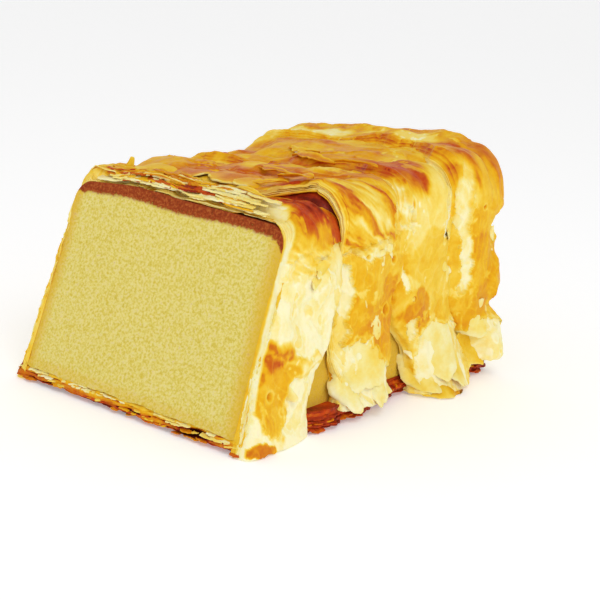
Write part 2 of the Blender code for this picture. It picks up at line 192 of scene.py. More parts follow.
def on_section(round_):
    """Points and outward normals at these distances round the section."""
    inside = np.clip(round_, 0, AROUND)
    point = np.stack([np.interp(inside, WALKED, SECTION[:, i]) for i in (0, 1)], -1)
    normal = np.stack([np.interp(inside, WALKED, SECTION_NORMALS[:, i]) for i in (0, 1)], -1)
    beyond = np.where(round_ < 0, round_, np.where(round_ > AROUND, AROUND - round_, 0))
    point[..., 1] += beyond
    return point, normal


def station_distances():
    side = CAKE_HEIGHT + BASE_THICKNESS - WRAP_CORNER
    up = [share * side for share in SIDE_STATIONS]
    across = [TOP_MIDDLE - share * CAKE_TOP_WIDTH for share in TOP_STATIONS]
    shoulder = side + WRAP_CORNER * math.pi / 4
    return np.array([*up, shoulder, *across, *(AROUND - d for d in reversed([*up, shoulder]))])


STATIONS = station_distances()


def between_stations(values, round_):
    values = np.array(values, float)
    index = np.clip(np.searchsorted(STATIONS, round_) - 1, 0, len(STATIONS) - 2)
    share = np.clip((round_ - STATIONS[index]) / (STATIONS[index + 1] - STATIONS[index]), 0, 1)
    share = share * share * (3 - 2 * share) * 0.5 + share * 0.5
    return values[index] * (1 - share) + values[index + 1] * share


def climb(x, along, height):
    """How much the loaf has risen at a place in it: most at its far right top edge."""
    share = np.clip((height - BASE_THICKNESS) / CAKE_HEIGHT, 0, 1.3)
    rightward = np.clip(0.66 + 0.34 * x / (CAKE_TOP_WIDTH / 2), 0.3, 1.02)
    return CAKE_RISE * share * rightward * np.clip(along / LOAF_LENGTH, 0, 1)


def place(round_, along, out):
    """Points this far out from the wrap's inner surface."""
    point, normal = on_section(round_)
    x = point[..., 0] + normal[..., 0] * out
    z = point[..., 1] + normal[..., 1] * out
    return np.stack([x, along, z + climb(x, along, z)], -1)


def puffs(round_, along, seed):
    """Broad swellings of the crust, from -1 to 1."""
    return (
        np.sin(round_ / 5.3 + along / 9.1 + seed * 2.1)
        + np.sin(round_ / 8.7 - along / 4.9 + seed * 1.3)
        + np.sin(along / 3.7 + round_ / 13.0 + seed * 0.7)
    ) / 3


# ---------------------------------------------------------------- the strips' form
def strip_edge(edge, round_, height):
    """Where a strip's edge runs: at the slanted cut, at the far end, or along its stations."""
    if edge is CUT:
        return CUT_SLANT * (height - BASE_THICKNESS)
    if edge is FAR_END:
        return np.full_like(round_, LOAF_LENGTH)
    walk = round_ + edge[2]  # two of the edge's own distances set its waves and its raggedness
    wave = np.sin(walk / 2.1) + np.sin(walk / 3.7) + np.sin(walk / 6.1)
    over_top = smooth_share(1.4 - np.abs(round_ - TOP_MIDDLE) / 40)
    line, seed = np.zeros_like(round_), int(edge[3])
    ragged = 0.8 * crags(round_, line, 3.5, 3.5, 11 + seed, 3)
    ragged = ragged + 2.4 * over_top * crags(round_, line, 9, 9, 31 + seed, 4)
    return between_stations(edge, round_) + wave * EDGE_WAVE / 1.6 + ragged


def strip_span(number, round_):
    """Distances along of a strip's front and rear edges, at these distances round."""
    level = on_section(round_)[0][..., 1]
    return [strip_edge(edge, round_, level) for edge in STRIP_EDGES[number]]


def strip_body(number, round_, across):
    """The strip's underside and thickness before any leaf is torn from it."""
    front_edge, rear_edge = STRIP_EDGES[number]
    front_lift, rear_lift = STRIP_LIFTS[number]
    normal = on_section(round_)[1]
    lift = between_stations(front_lift, round_) * (1 - across) ** 1.6
    lift = lift + between_stations(rear_lift, round_) * across**1.6 + number * STRIP_STAGGER
    on_top = smooth_share(normal[..., 1])
    bulge = np.sin(math.pi * across) ** 0.6
    thickness = STRIP_EDGE + (STRIP_MIDDLE - STRIP_EDGE) * bulge
    at_an_end = (front_edge is CUT) * (1 - across) + (rear_edge is FAR_END) * across
    thickness += (STRIP_MIDDLE - STRIP_EDGE) * smooth_share(2 * at_an_end - 1) * 0.8
    leftward = smooth_share((round_ - TOP_MIDDLE) / CAKE_TOP_WIDTH + 0.5)
    thickness += STRIP_SWELLS[number] * on_top * (1 - 0.6 * leftward)
    thickness += RIGHT_SWELLS[number] * np.clip(normal[..., 0], 0, 1) * np.sin(math.pi * across)
    thickness *= 1 - (1 - LEFT_SHARES[number]) * np.clip(-1.4 * normal[..., 0] - 0.3, 0, 1)
    foot = np.minimum(round_, AROUND - round_)
    right, left = STRIP_FLARES[number]
    tongue = 0.55 + 0.45 * np.sin(math.pi * np.clip(across, 0.02, 0.98))
    flare = np.where(round_ < TOP_MIDDLE, right, left) * tongue
    flare *= np.clip(1 - foot / FLARE_HEIGHT, 0, 1) ** 1.7
    return lift, thickness + flare, smooth_share(foot / 9)


# Patches of the glazed skin on each strip. Each row: distance round, distance along, half-sizes
# both ways, and how far the patch is baked, from 0 for cream to 1 for dark brown.
SKIN_PATCHES = (
    (
        (23, 13, 18, 12, 0.50),
        (31, 12, 6, 5, 0.74),
        (24, 4, 4, 3, 0.66),
        (0, 3, 3.5, 7, 0.68),
        (22, 28, 10, 6, 0.32),
        (62, 22, 6, 9, 0.44),
        (70, 27, 6, 8, 0.80),
        (78, 31, 8, 6, 0.82),
        (69, 35, 6, 6, 0.83),
        (63, 33, 4, 5, 0.54),
        (65, 42, 4, 5, 0.80),
        (94, 28, 12, 4, 0.66),
        (112, 29, 14, 6, 0.70),
        (128, 30, 12, 7, 0.74),
        (144, 30, 10, 7, 0.66),
        (160, 26, 12, 12, 0.26),
        (188, 18, 16, 9, 0.44),
    ),
    (
        (30, 64, 13, 12, 0.57),
        (50, 64, 12, 14, 0.49),
        (34, 50, 8, 6, 0.55),
        (40, 72, 5, 5, 0.62),
        (78, 64, 12, 10, 0.66),
        (92, 56, 12, 8, 0.70),
        (106, 48, 14, 10, 0.74),
        (122, 50, 12, 12, 0.72),
        (140, 50, 12, 12, 0.55),
        (126, 68, 14, 6, 0.60),
        (170, 58, 16, 14, 0.50),
        (192, 50, 12, 8, 0.62),
    ),
    (
        (60, 94, 13, 15, 0.24),
        (62, 104, 9, 5, 0.14),
        (46, 101, 6, 5, 0.22),
        (40, 84, 4, 5, 0.26),
        (26, 92, 5, 5, 0.56),
        (72, 91, 6, 9, 0.80),
        (79, 86, 6, 6, 0.74),
        (30, 88, 7, 7, 0.62),
        (46, 96, 10, 12, 0.42),
        (98, 86, 16, 5, 0.68),
        (112, 84, 14, 6, 0.70),
        (98, 100, 16, 9, 0.60),
        (128, 92, 14, 12, 0.50),
        (168, 90, 12, 12, 0.56),
        (190, 96, 10, 10, 0.44),
    ),
    (
        (72, 125, 8, 8, 0.78),
        (84, 122, 6, 4, 0.62),
        (61, 127, 9, 8, 0.46),
        (45, 130, 8, 6, 0.54),
        (25, 126, 7, 5, 0.58),
        (101, 124, 14, 9, 0.62),
        (118, 127, 14, 7, 0.58),
        # painted highlights: the next four pale patches over the hump stand for the glints of its glaze as
        # well as paler skin
        (134, 127, 12, 6, 0.07),
        (146, 122, 10, 9, 0.12),
        (112, 131, 7, 4, 0.20),
        (92, 129, 8, 4, 0.24),
        (136, 118, 12, 6, 0.44),
        (176, 124, 14, 10, 0.56),
    ),
)
# Patches where the skin is torn away down to the cream leaves, in the same order without a bake.
TORN_PATCHES = (
    (
        (50, 30, 12, 16),
        (38, 24, 13, 20),
        (10, 26, 12, 10),
        (14, 36, 10, 8),
        (82, 22, 15, 7.5),
        (108, 20, 16, 4),
        (136, 20, 14, 2.5),
        (152, 20, 9, 4),
        (176, 30, 12, 14),
        (206, 24, 12, 20),
        (190, 34, 10, 8),
    ),
    (
        (12, 54, 15, 12),
        (9, 68, 10, 10),
        (26, 46, 9, 4),
        (43, 47, 10, 3.5),
        (56, 60, 3, 12),
        (62, 74, 4, 4),
        (204, 60, 14, 14),
        (186, 70, 10, 6),
        (110, 70, 5, 4),
    ),
    (
        (12, 104, 13, 16),
        (24, 86, 4, 3),
        (40, 80, 6, 2),
        (54, 109, 14, 4),
        (64, 80, 7, 2),
        (58, 102, 4, 4),
        (206, 98, 14, 16),
        (176, 108, 9, 6),
        (118, 96, 5, 3),
    ),
    (
        (10, 130, 12, 12),
        (58, 115, 11, 4),
        (40, 117, 10, 3),
        (50, 136, 4, 4),
        (206, 128, 14, 12),
        (182, 114, 8, 6),
    ),
)
# Patches shredded into fine strands: distance round, distance along, half-sizes both ways, how
# much, and the strands' heading in degrees (0 round the loaf, 90 towards its far end).
SHREDDED_PATCHES = (
    (
        (58, 28, 5, 12, 0.9, 118),
        (60, 16, 4, 5, 0.6, 118),
        (84, 14, 12, 8, 0.4, 170),
        (110, 24, 24, 10, 0.2, 5),
        (162, 30, 12, 12, 0.6, 62),
    ),
    (
        (64, 58, 8, 18, 1.0, 118),
        (74, 50, 7, 7, 0.8, 140),
        (96, 48, 24, 9, 0.2, 172),
        (128, 58, 18, 12, 0.15, 5),
        (160, 58, 10, 14, 0.8, 62),
    ),
    (
        (66, 79, 6, 3.5, 0.7, 118),
        (106, 86, 24, 7, 0.25, 175),
        (160, 96, 9, 12, 0.5, 62),
    ),
    ((68, 116, 8, 6, 0.4, 118), (108, 122, 24, 6, 0.12, 175), (158, 122, 9, 9, 0.5, 62)),
)
# Soft bulges and dents: distance round, distance along, half-sizes both ways, height in mm.
SWELL_PATCHES = (
    (
        (50, 30, 8, 9, 0.8),
        (40, 24, 5, 7, -0.7),
        (28, 30, 7, 6, 0.7),
        (206, 12, 16, 12, 0.8),
        (58, 18, 5, 5, -0.6),
    ),
    (
        (42, 58, 8, 8, 0.7),
        (30, 66, 7, 6, -0.6),
        (14, 54, 10, 10, 0.9),
        (100, 50, 9, 7, -0.8),
        (112, 60, 9, 8, 0.9),
        (121, 46, 8, 6, 1.8),
        (137, 46, 7, 6, 1.4),
        (138, 68, 12, 8, -1.8),
        (106, 44, 6, 5, 1.0),
    ),
    (
        (60, 94, 7, 8, 0.8),
        (40, 90, 7, 6, -0.6),
        (12, 102, 10, 12, 1.2),
        (110, 80, 16, 4, -1.2),
        (90, 102, 9, 7, 0.9),
        (149, 95, 11, 13, -3.6),
        (128, 84, 16, 8, -1.6),
        (72, 108, 8, 4, -1.6),
    ),
    (
        (60, 136, 6, 8, 0.5),
        (69, 138, 8, 9, -2.2),
        (82, 137, 9, 7, 1.0),
        (52, 138, 3.5, 7, -1.3),
        (45, 138, 3, 6, 0.9),
        (34, 138, 7, 7, 3.2),
        (25, 138, 3, 6, -1.6),
        (14, 137, 8, 9, 4.2),
        (104, 128, 9, 7, 0.9),
        (124, 120, 9, 8, -0.7),
        (92, 122, 5, 5, -0.9),
    ),
)
# Small pricked holes: distance round, distance along and radius.
DOCKING_HOLES = (
    (53, 58, 1.0),
    (50, 73, 1.3),
    (34, 70, 1.7),
    (18, 9, 1.5),
    (50, 37, 0.6),
    (35, 85, 0.9),
    (64, 82, 0.8),
    (60, 124, 0.9),
)


# Of each strip: how far its skin is baked, and the share of the broad ridges that it has.
SKIN_BAKES = (0.46, 0.44, 0.40, 0.50)
RIDGE_SHARES = (0.7, 1.0, 0.8, 0.6)


def top_share(round_):
    """1 over the top of the loaf and 0 down its sides, eased over the corners."""
    return smooth_share(1.6 * on_section(round_)[1][..., 1])


def patch_share(patch, round_, along, warp_round, warp_along):
    """From 1 in the middle of a patch to 0 outside it."""
    at_round, at_along, half_round, half_along = patch[:4]
    distance = np.hypot(
        (round_ + warp_round - at_round) / half_round, (along + warp_along - at_along) / half_along
    )
    return smooth_share(1.5 - distance)


def wander(round_, along, seed):
    """How far the outlines of patches stray at each place."""
    broad = 2.4 * crags(round_, along, 9, 9, seed, 2)
    return broad + 1.1 * crags(round_, along, 2.4, 2.4, seed + 4, 3)


def glazed_skin(number, round_, along, stray, top):
    """Where the glazed skin lies, from 1 to 0 or less where it is torn, and how far it is baked."""
    seed, side = 100 * number, 1 - top
    warp_round, warp_along = stray
    strayed = (round_ + warp_round, along + warp_along)
    skin = (0.5 - 0.6 * side if number == 0 else 0.95) + 0.55 * crags(round_, along, 14, 10, seed + 16, 3)
    bake = SKIN_BAKES[number] + 0.12 * top
    bake = bake + 0.09 * crags(round_, along, 16, 9, seed + 20, 3)
    bake = bake + 0.04 * crags(round_ + 0.8 * warp_round, along + warp_along, 14, 2.4, seed + 48, 3)
    bake = bake + 0.30 * top * crags(*strayed, 10, 7, seed + 52, 4)
    bake = bake + 0.12 * side * crags(*strayed, 7, 5, seed + 66, 4)
    crispness = 0.7 if number == 0 else 1.8
    for patch in SKIN_PATCHES[number]:
        share = patch_share(patch, round_, along, 1.5 * warp_round, 1.5 * warp_along)
        share = smooth_share(0.5 + (share - 0.5) * (1 + crispness * side))
        bake = bake + (patch[4] - bake) * share
        skin = skin + (1.2 - skin) * smooth_share(share * 1.2)
    for patch in TORN_PATCHES[number]:
        skin = skin - 1.3 * patch_share(patch, round_, along, 1.5 * warp_round, 1.5 * warp_along)
    return skin, bake


def shredded_strands(number, round_, along, stray):
    """How far each place is shredded, and the strands' own relief there."""
    warp_round, warp_along = stray
    shredded, strands = np.zeros_like(round_), np.zeros_like(round_)
    for patch in SHREDDED_PATCHES[number]:
        much = patch[4] * patch_share(patch, round_, along, 1.5 * warp_round, 1.5 * warp_along)
        turned = math.radians(patch[5])
        ahead = (round_ + 0.6 * warp_round) * math.cos(turned) + along * math.sin(turned)
        aside = along * math.cos(turned) - (round_ + 0.6 * warp_round) * math.sin(turned)
        strands = np.where(much > shredded, crags(ahead, aside, 9, 1.3, 100 * number + 24, 3), strands)
        shredded = np.maximum(shredded, much)
    return shredded, strands


def prick_holes(round_, along, height, bake):
    """Sinks the pricked holes: each has a low rim and a browner dimple."""
    for at_round, at_along, radius in DOCKING_HOLES:
        away = np.hypot(round_ - at_round, along - at_along) / radius
        dimple = smooth_share(1.15 - away)
        rim = np.exp(-((away - 1.3) ** 2) / 0.09)
        height = height + 0.15 * radius * rim - 0.8 * radius * dimple
        bake = bake + (0.62 - 0.3 * radius) * dimple - 0.14 * rim
    return height, bake


def crust_relief(number, round_, along):
    """Leaves, strands and blisters of the crust: their height and how far each place is baked."""
    top = smooth_share(1.6 * on_section(round_)[1][..., 1] - 0.1)
    side = 1 - top
    seed = 100 * number
    warp_round, warp_along = stray = (wander(round_, along, seed), wander(round_, along, seed + 8))
    skin, bake = glazed_skin(number, round_, along, stray, top)
    shredded, strands = shredded_strands(number, round_, along, stray)
    flecks = crags(round_ + 0.9 * warp_along, along + 0.9 * warp_round, 2.8, 2.6, seed + 56, 3)
    flecks = smooth_share((flecks - 0.36) / 0.16)
    flecks = flecks * smooth_share(0.5 + 1.6 * crags(round_, along, 16, 12, seed + 60, 2))

    least, widened = (0.11, 1.7) if number == 0 else (0.05, 1.0)
    softness = least + 0.24 * smooth_share(0.5 + crags(round_, along, 8, 8, seed + 44, 2))
    torn = smooth_share((0.35 - skin) / (softness * widened))
    flakes = 0.5 + 0.75 * crags(round_, along, 11, 8, seed + 40, 4)
    flake_depth = 1 - steps(flakes, 4, 0.12)
    lip = np.exp(-(((skin - 0.42) / 0.09) ** 2))
    ridges = 0.5 + 0.6 * crags(round_ + 2 * warp_round, along + 1.5 * warp_along, 22, 10, seed + 28, 3)
    peeling = 0.5 + 0.7 * crags(round_, along, 16, 11, seed + 72, 3)
    peel = steps(peeling, 4, 0.1) - 0.5

    height = (steps(ridges, 3) - 0.6) * (2.0 * top + 0.8 * side) * RIDGE_SHARES[number]
    height = height - (0.3 + 1.3 * flake_depth) * torn + 0.12 * lip - 0.22 * flecks * (1 - torn)
    height = height + 0.55 * strands * shredded
    height = height + 0.3 * crags(round_, along, 5, 3.4, seed + 32, 3)
    height = height + 0.7 * crags(round_, along, 11, 7, seed + 34, 2) * top
    for patch in SWELL_PATCHES[number]:
        height = height + patch[4] * patch_share(patch, round_, along, warp_round, warp_along)
    height = height + 0.5 * peel * side * (1 - torn)

    pale = (-0.07 if number == 0 else -0.04) + 0.23 * flake_depth**1.5
    pale = pale + 0.10 * crags(round_, along, 7, 6, seed + 36, 3) - 0.10 * near_riser(flakes, 4, 0.2)
    bake = bake + 0.08 * near_riser(ridges, 3, 0.2) * top
    bake = bake - 0.07 * near_riser(peeling, 4, 0.13) * side - 0.10 * peel * side - 0.26 * flecks
    bake = bake * (1 - torn) + pale * torn
    bake = bake - 0.22 * lip * (bake > 0.2) * side
    strand_bake = 0.36 + 0.62 * strands + 0.14 * top
    bake = bake + (strand_bake - bake) * shredded * 0.8
    return prick_holes(round_, along, height, bake)


EDGE_LEAVES = 3  # that end one behind another at a strip's edge
EDGE_ROUNDING = 2.6
MOUTH_EDGES = (STRIP_EDGES[0][1], STRIP_EDGES[1][0])  # they stay thick, round the open mouth


def strip_crust(number, round_, along):
    """The crust's height over the wrap's inner surface, and how far it is baked."""
    front, rear = strip_span(number, round_)
    across = np.clip((along - front) / (rear - front), 0, 1)
    lift, thickness, settled = strip_body(number, round_, across)
    relief, bake = crust_relief(number, round_, along)
    relief = relief + PUFF_HEIGHT * puffs(round_, along, number)
    top = top_share(round_)

    share = np.ones_like(across)
    edges = list(zip(STRIP_EDGES[number], (along - front, rear - along)))
    for edge, distance in edges:
        if edge is CUT or edge is FAR_END:
            continue
        pitch = (0.5 + 0.4 * top) * (1 + 0.5 * crags(round_, distance, 9, 4, 300 + number, 2))
        field = np.clip(distance / (pitch * EDGE_LEAVES), 0, 1)
        least = 0.85 if edge in MOUTH_EDGES else 0.5
        tread = 0.8 * steps(field, EDGE_LEAVES) + 0.2 * field
        share = np.minimum(share, least + (1 - least) * tread)
        edge_share = 1 - smooth_share(field * 1.3)
        paled = 0.8 if number < 2 else 0.8 - 0.5 * top
        bake = bake + (0.26 - bake) * edge_share * paled
        bake = bake + 0.22 * near_riser(field, EDGE_LEAVES, 0.25)
    out = lift + thickness * share + relief * settled * share
    for edge, distance in edges:
        if edge is CUT or edge is FAR_END:
            turn_in = np.clip(1 - distance / EDGE_ROUNDING, 0, 1)
            out = out - (1 - np.sqrt(1 - turn_in**2)) * (1.3 + 0.6 * crags(round_, round_ * 0, 7, 7, 310, 3))
    return out, lift, bake


def seat_at(number, round_, along):
    """The strip's smooth outer height, on which its loose leaves lie."""
    front, rear = strip_span(number, round_)
    across = np.clip((along - front) / (rear - front), 0.03, 0.97)
    lift, thickness, _ = strip_body(number, round_, across)
    return lift + thickness + 0.2 * top_share(round_) + PUFF_HEIGHT * puffs(round_, along, number)


# ---------------------------------------------------------------- shaping helpers
def only_select(*pieces):
    bpy.ops.object.select_all(action="DESELECT")
    for piece in pieces:
        piece.select_set(True)
    bpy.context.view_layer.objects.active = pieces[0]


def grid_sheet(name, cells_x, cells_y):
    """A flat sheet one unit each way, from 0 to 1, ready to be shaped."""
    bpy.ops.object.select_all(action="DESELECT")
    bpy.ops.mesh.primitive_grid_add(
        x_subdivisions=cells_x, y_subdivisions=cells_y, size=1, location=(0.5, 0.5, 0)
    )
    sheet = bpy.context.object
    sheet.name = name
    bpy.ops.object.transform_apply(location=True, rotation=False, scale=False)
    return sheet


def flat_slab(name, cells_x, cells_y):
    """A closed slab one unit each way, from 0 to 1, in cells."""
    slab = grid_sheet(name, cells_x, cells_y)
    for vert in slab.data.vertices:
        vert.co.z = 1
    wall = slab.modifiers.new("wall", "SOLIDIFY")
    wall.thickness = 1
    wall.offset = -1
    bpy.ops.object.modifier_apply(modifier=wall.name)
    return slab


def corner_array(mesh):
    flat = np.empty(len(mesh.vertices) * 3)
    mesh.vertices.foreach_get("co", flat)
    return flat.reshape(-1, 3)


def shape_mesh(mesh, places, bake):
    """Moves the mesh's corners to these places in mm and stores how far each is baked."""
    places[:, 2] = np.maximum(places[:, 2], 0.05)
    mesh.vertices.foreach_set("co", ((places + TO_FRAME) * MM).ravel())
    store = mesh.attributes.get("bake") or mesh.attributes.new("bake", "FLOAT", "POINT")
    store.data.foreach_set("value", np.clip(bake, 0, 1.2).astype(np.float32))
    mesh.update()


def close_up(obj, seam=0.0002):
    """Merges a rolled-up sheet's seam, caps its open ends and turns its faces outwards."""
    shape = bmesh.new()
    shape.from_mesh(obj.data)
    bmesh.ops.remove_doubles(shape, verts=shape.verts, dist=seam * MM)
    bmesh.ops.holes_fill(shape, edges=shape.edges, sides=0)
    bmesh.ops.recalc_face_normals(shape, faces=shape.faces)
    if shape.calc_volume(signed=True) < 0:
        bmesh.ops.reverse_faces(shape, faces=shape.faces)
    shape.to_mesh(obj.data)
    shape.free()
    only_select(obj)
    bpy.ops.object.shade_smooth_by_angle(angle=math.radians(50))


def finish_piece(obj, material, node):
    obj.data.materials.clear()
    obj.data.materials.append(material)
    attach(obj, "root")
    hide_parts(node)


def finish_leaves(obj, material):
    """Turns the faces of thin leaves outwards and rounds their shading."""
    only_select(obj)
    bpy.ops.object.mode_set(mode="EDIT")
    bpy.ops.mesh.select_all(action="SELECT")
    bpy.ops.mesh.normals_make_consistent(inside=False)
    bpy.ops.object.mode_set(mode="OBJECT")
    bpy.ops.object.shade_smooth_by_angle(angle=math.radians(60))
    finish_piece(obj, material, "pastry_wrap")


def join_copies(name, pattern, shapes, material):
    """Copies the pattern for each shape, its places and bakes, and joins the copies."""
    made = []
    for index, (places, bake) in enumerate(shapes):
        mesh = pattern.data.copy()
        shape_mesh(mesh, places, bake)
        made.append(bpy.data.objects.new(f"{name}_{index}", mesh))
        bpy.context.scene.collection.objects.link(made[-1])
    bpy.data.objects.remove(pattern, do_unlink=True)
    only_select(*made)
    bpy.ops.object.join()
    joined = bpy.context.object
    joined.name = name
    finish_leaves(joined, material)


# ---------------------------------------------------------------- the pastry strips
CELLS_ROUND = 520
CRUST_CELLS = (100, 118, 110, 84)  # along each strip's crust
CELLS_UNDER = 12
# How many leaves show in a strip's wall at the cut, at its front lip and at its rear.
CUT_LEAVES, LIP_LEAVES, REAR_LEAVES = 3.4, 5, 4
# How far the far end stands out or back at distances round the loaf, in mm.
FAR_END_WAVE = (
    (0, -1), (8, -1.5), (14, 0), (19, 1), (24, -0.5), (27, -3.5), (29, -3), (32, 0.8), (38, 0.2),
    (44, -2.2), (48, -0.8), (52, -2.4), (56, -1.6), (61, 0.6), (66, 1), (80, 0), (110, -1),
    (140, 0), (165, 1), (180, -1.5), (195, 0.8), (208, -1), (222, 0),
)
TOP_RISE_FADE = 9  # how far behind the cut the rise of the cake's top fades


def leaf_and_crack(field):
    """The leaf that each place is in, and how far it is from the crack at the leaf's edge."""
    leaf = np.floor(field)
    return leaf, np.minimum(field - leaf, leaf + 1 - field)


def wall_layers(round_, depth, leaves, seed):
    """How far each leaf stands back where the pastry is cut or torn, and the cracks between."""
    wobble = 0.45 * crags(round_, depth * 2, 18, 3, seed, 3)
    leaf, from_crack = leaf_and_crack(depth * leaves + wobble)
    on_top = smooth_share(1.4 * on_section(round_)[1][..., 1])
    broken = smooth_share(0.15 + 0.45 * on_top + 1.9 * crags(round_, leaf * 9.0, 12, 5, seed + 3, 2))
    crack = smooth_share((0.15 - from_crack) / 0.12) * broken
    set_back = 0.6 * crags(round_, leaf * 9.0, 9, 5, seed + 5, 3) + 0.7 * crack
    return set_back, crack * (0.2 + 0.8 * on_top), leaf


def top_rise(round_):
    """How far the cake's top stands up at the cut: most in its left half."""
    rise = 1.6 * smooth_share(1.3 - np.abs(round_ - TOP_MIDDLE) / 50)
    return rise + 1.2 * np.exp(-(((round_ - 128) / 17) ** 2))


def cut_wall(round_, depth, in_wall):
    """The torn rim at the cut: stepped back over the top, cream where it isn't cracked, with painted shade
    browning its lower leaves over the top.
    """
    on_top = smooth_share(on_section(round_)[1][:, 1])
    worn = smooth_share((round_ - 132) / 12)
    set_back, crack, leaf = wall_layers(round_, depth, CUT_LEAVES, 500)
    set_back = set_back * in_wall * np.sin(math.pi * depth) * (1 - 0.7 * worn)
    bake = 0.17 + 0.07 * leaf / CUT_LEAVES + 0.46 * crack * (1 - 0.7 * worn)
    bake += 0.10 * crags(round_, depth * 9, 9, 3, 540, 3)
    inmost = on_top * smooth_share(1 - np.abs(round_ - 112) / 44)
    inner_leaves = smooth_share(2.4 - depth * 8)
    set_back = set_back + 1.5 * inmost * inner_leaves * in_wall
    # painted shade: the set-back inner leaves over the middle of the top are made browner
    bake = bake + 0.16 * inmost * inner_leaves
    torn_back = on_top * 5.0 * steps(np.clip((depth - 0.5) / 0.5, 0, 1), 3)
    torn_back *= (0.8 + 0.6 * crags(round_, depth * 6, 22, 6, 520, 3)) * (1 - 0.45 * worn)
    # painted shade: the rim's lower leaves over the top, next to the cake, are made browner
    bake += 0.32 * on_top * smooth_share(1 - depth * 3.2)
    set_back = set_back * (0.35 + 0.65 * on_top)
    set_back = set_back + 0.9 * (1 - on_top) * depth * crags(round_, depth * 4, 11, 6, 550, 3)
    right_rim = 0.46 - 0.40 * smooth_share(2.8 * depth - 0.6)
    left_rim = 0.31 - 0.21 * np.exp(-(((round_ - 154) / 14) ** 2))
    rim_bake = np.where(round_ < TOP_MIDDLE, right_rim, left_rim)
    rim_bake = rim_bake + 0.07 * crags(round_, depth * 5, 16, 2.2, 545, 3)
    bake += (rim_bake - bake) * (1 - on_top)
    return set_back + torn_back, bake


def lip_wall(number, round_, depth, in_wall):
    """The layered front edge of a strip that lies over the one before it."""
    set_back, crack, leaf = wall_layers(round_, depth, LIP_LEAVES, 500 + number)
    bake = 0.17 + 0.07 * leaf / LIP_LEAVES + 0.62 * crack
    bake += 0.10 * crags(round_, depth * 9, 9, 3, 540, 3)
    bake += 0.25 * smooth_share(1 - depth * 3)
    return set_back * in_wall * np.sin(math.pi * depth) * 1.4, bake


def make_strip(number, material):
    """One strip: its crust, both edge walls and its underside, rolled from a single sheet."""
    front_edge, rear_edge = STRIP_EDGES[number]
    front_wall = 30 if front_edge is CUT else 16
    rear_wall = 30 if rear_edge is FAR_END else 6
    counts = (CRUST_CELLS[number], front_wall, CELLS_UNDER, rear_wall)
    strip = grid_sheet(f"pastry_strip_{number + 1}", CELLS_ROUND, sum(counts))
    flat = corner_array(strip.data)
    turn = flat[:, 1] * sum(counts)
    ends = np.cumsum((0, *counts))
    across = np.interp(turn, ends, (1, 0, 0, 1, 1))
    depth = np.interp(turn, ends, (1, 1, 0, 0, 1))
    in_front_wall = (turn > ends[1]) & (turn < ends[2])
    in_rear_wall = turn > ends[3]

    foot = STRIP_FEET[number] + 1.1 * crags(across * 40, depth, 5, 5, 400 + number, 4)
    foot = foot - 0.9 * depth
    round_ = foot + flat[:, 0] * (AROUND - 2 * foot)
    level = on_section(round_)[0][:, 1]
    front, rear = strip_span(number, round_)
    along = front + (rear - front) * across
    out, lift, bake = strip_crust(number, round_, along)
    if front_edge is CUT:
        gap = smooth_share(1.4 - np.abs(round_ - 77) / 10) + 0.3 * crags(round_, depth * 0, 9, 9, 560, 2)
        lift = lift + (1.2 * np.clip(gap, 0, 1) - 0.85) * (1 - across) ** 4
        lift = lift + top_rise(round_) * np.clip(1 - (along - front) / TOP_RISE_FADE, 0, 1)
    out = lift + depth * (out - lift)

    if front_edge is CUT:
        height = place(round_, along, out)[:, 2]
        set_back, wall_bake = cut_wall(round_, depth, in_front_wall)
        along = along + CUT_SLANT * (height - level) * (1 - across) ** 3
    else:
        set_back, wall_bake = lip_wall(number, round_, depth, in_front_wall)
    along = along + set_back * (1 - across) ** 3
    bake = np.where(in_front_wall, wall_bake, bake)

    set_back, crack, leaf = wall_layers(round_, depth, REAR_LEAVES, 600 + number)
    along = along - set_back * in_rear_wall * np.sin(math.pi * depth)
    if rear_edge is FAR_END:
        wave = np.interp(round_, *zip(*FAR_END_WAVE)) * smooth_share(across * 5 - 4)
        along = along + wave * (0.3 + 0.7 * depth)
    bake = np.where(in_rear_wall, 0.17 + 0.07 * leaf / REAR_LEAVES + 0.5 * crack, bake)
    bake = np.where(depth < 0.02, 0.62, bake)

    shape_mesh(strip.data, place(round_, along, out), bake)
    close_up(strip)
    finish_piece(strip, material, "pastry_wrap")


# ---------------------------------------------------------------- the pastry base
BASE_CELLS_ROUND = 840
BASE_COUNTS = (14, 26, 5)  # cells under the base, up its wall and over its top
BASE_LEAVES = 5
BASE_FLAKES = 230
BASE_FLAKE_SPREAD = 980  # about twice the length of the base's outline


def base_outline(turn, inset):
    """A point of the base's outline seen from above, and its outward direction."""
    half = CAKE_WIDTH / 2 + BASE_OVERHANG
    lengths = np.cumsum((0, 2 * half, LOAF_LENGTH, 2 * half, LOAF_LENGTH))
    walked = turn * lengths[-1]
    x = np.interp(walked, lengths, (-half, half, half, -half, -half))
    y = np.interp(walked, lengths, (0, 0, LOAF_LENGTH, LOAF_LENGTH, 0))
    ripple = np.cos((y - 47) / 13) + 0.35 * np.sin(y / 2.9)
    sideways = np.where((walked > lengths[1]) & (walked < lengths[2]), 1.0, 0.0)
    sideways -= np.where(walked > lengths[3], 1.0, 0.0)
    endways = np.where(walked < lengths[1], -1.0, 0.0)
    endways += np.where((walked > lengths[2]) & (walked < lengths[3]), 1.0, 0.0)
    x = x * (1 + 0.45 * BASE_OVERHANG / half * ripple)
    centre_y = LOAF_LENGTH / 2
    x = x * (1 - inset / half)
    y = centre_y + (y - centre_y) * (1 - inset / centre_y)
    return x, y, sideways, endways, walked


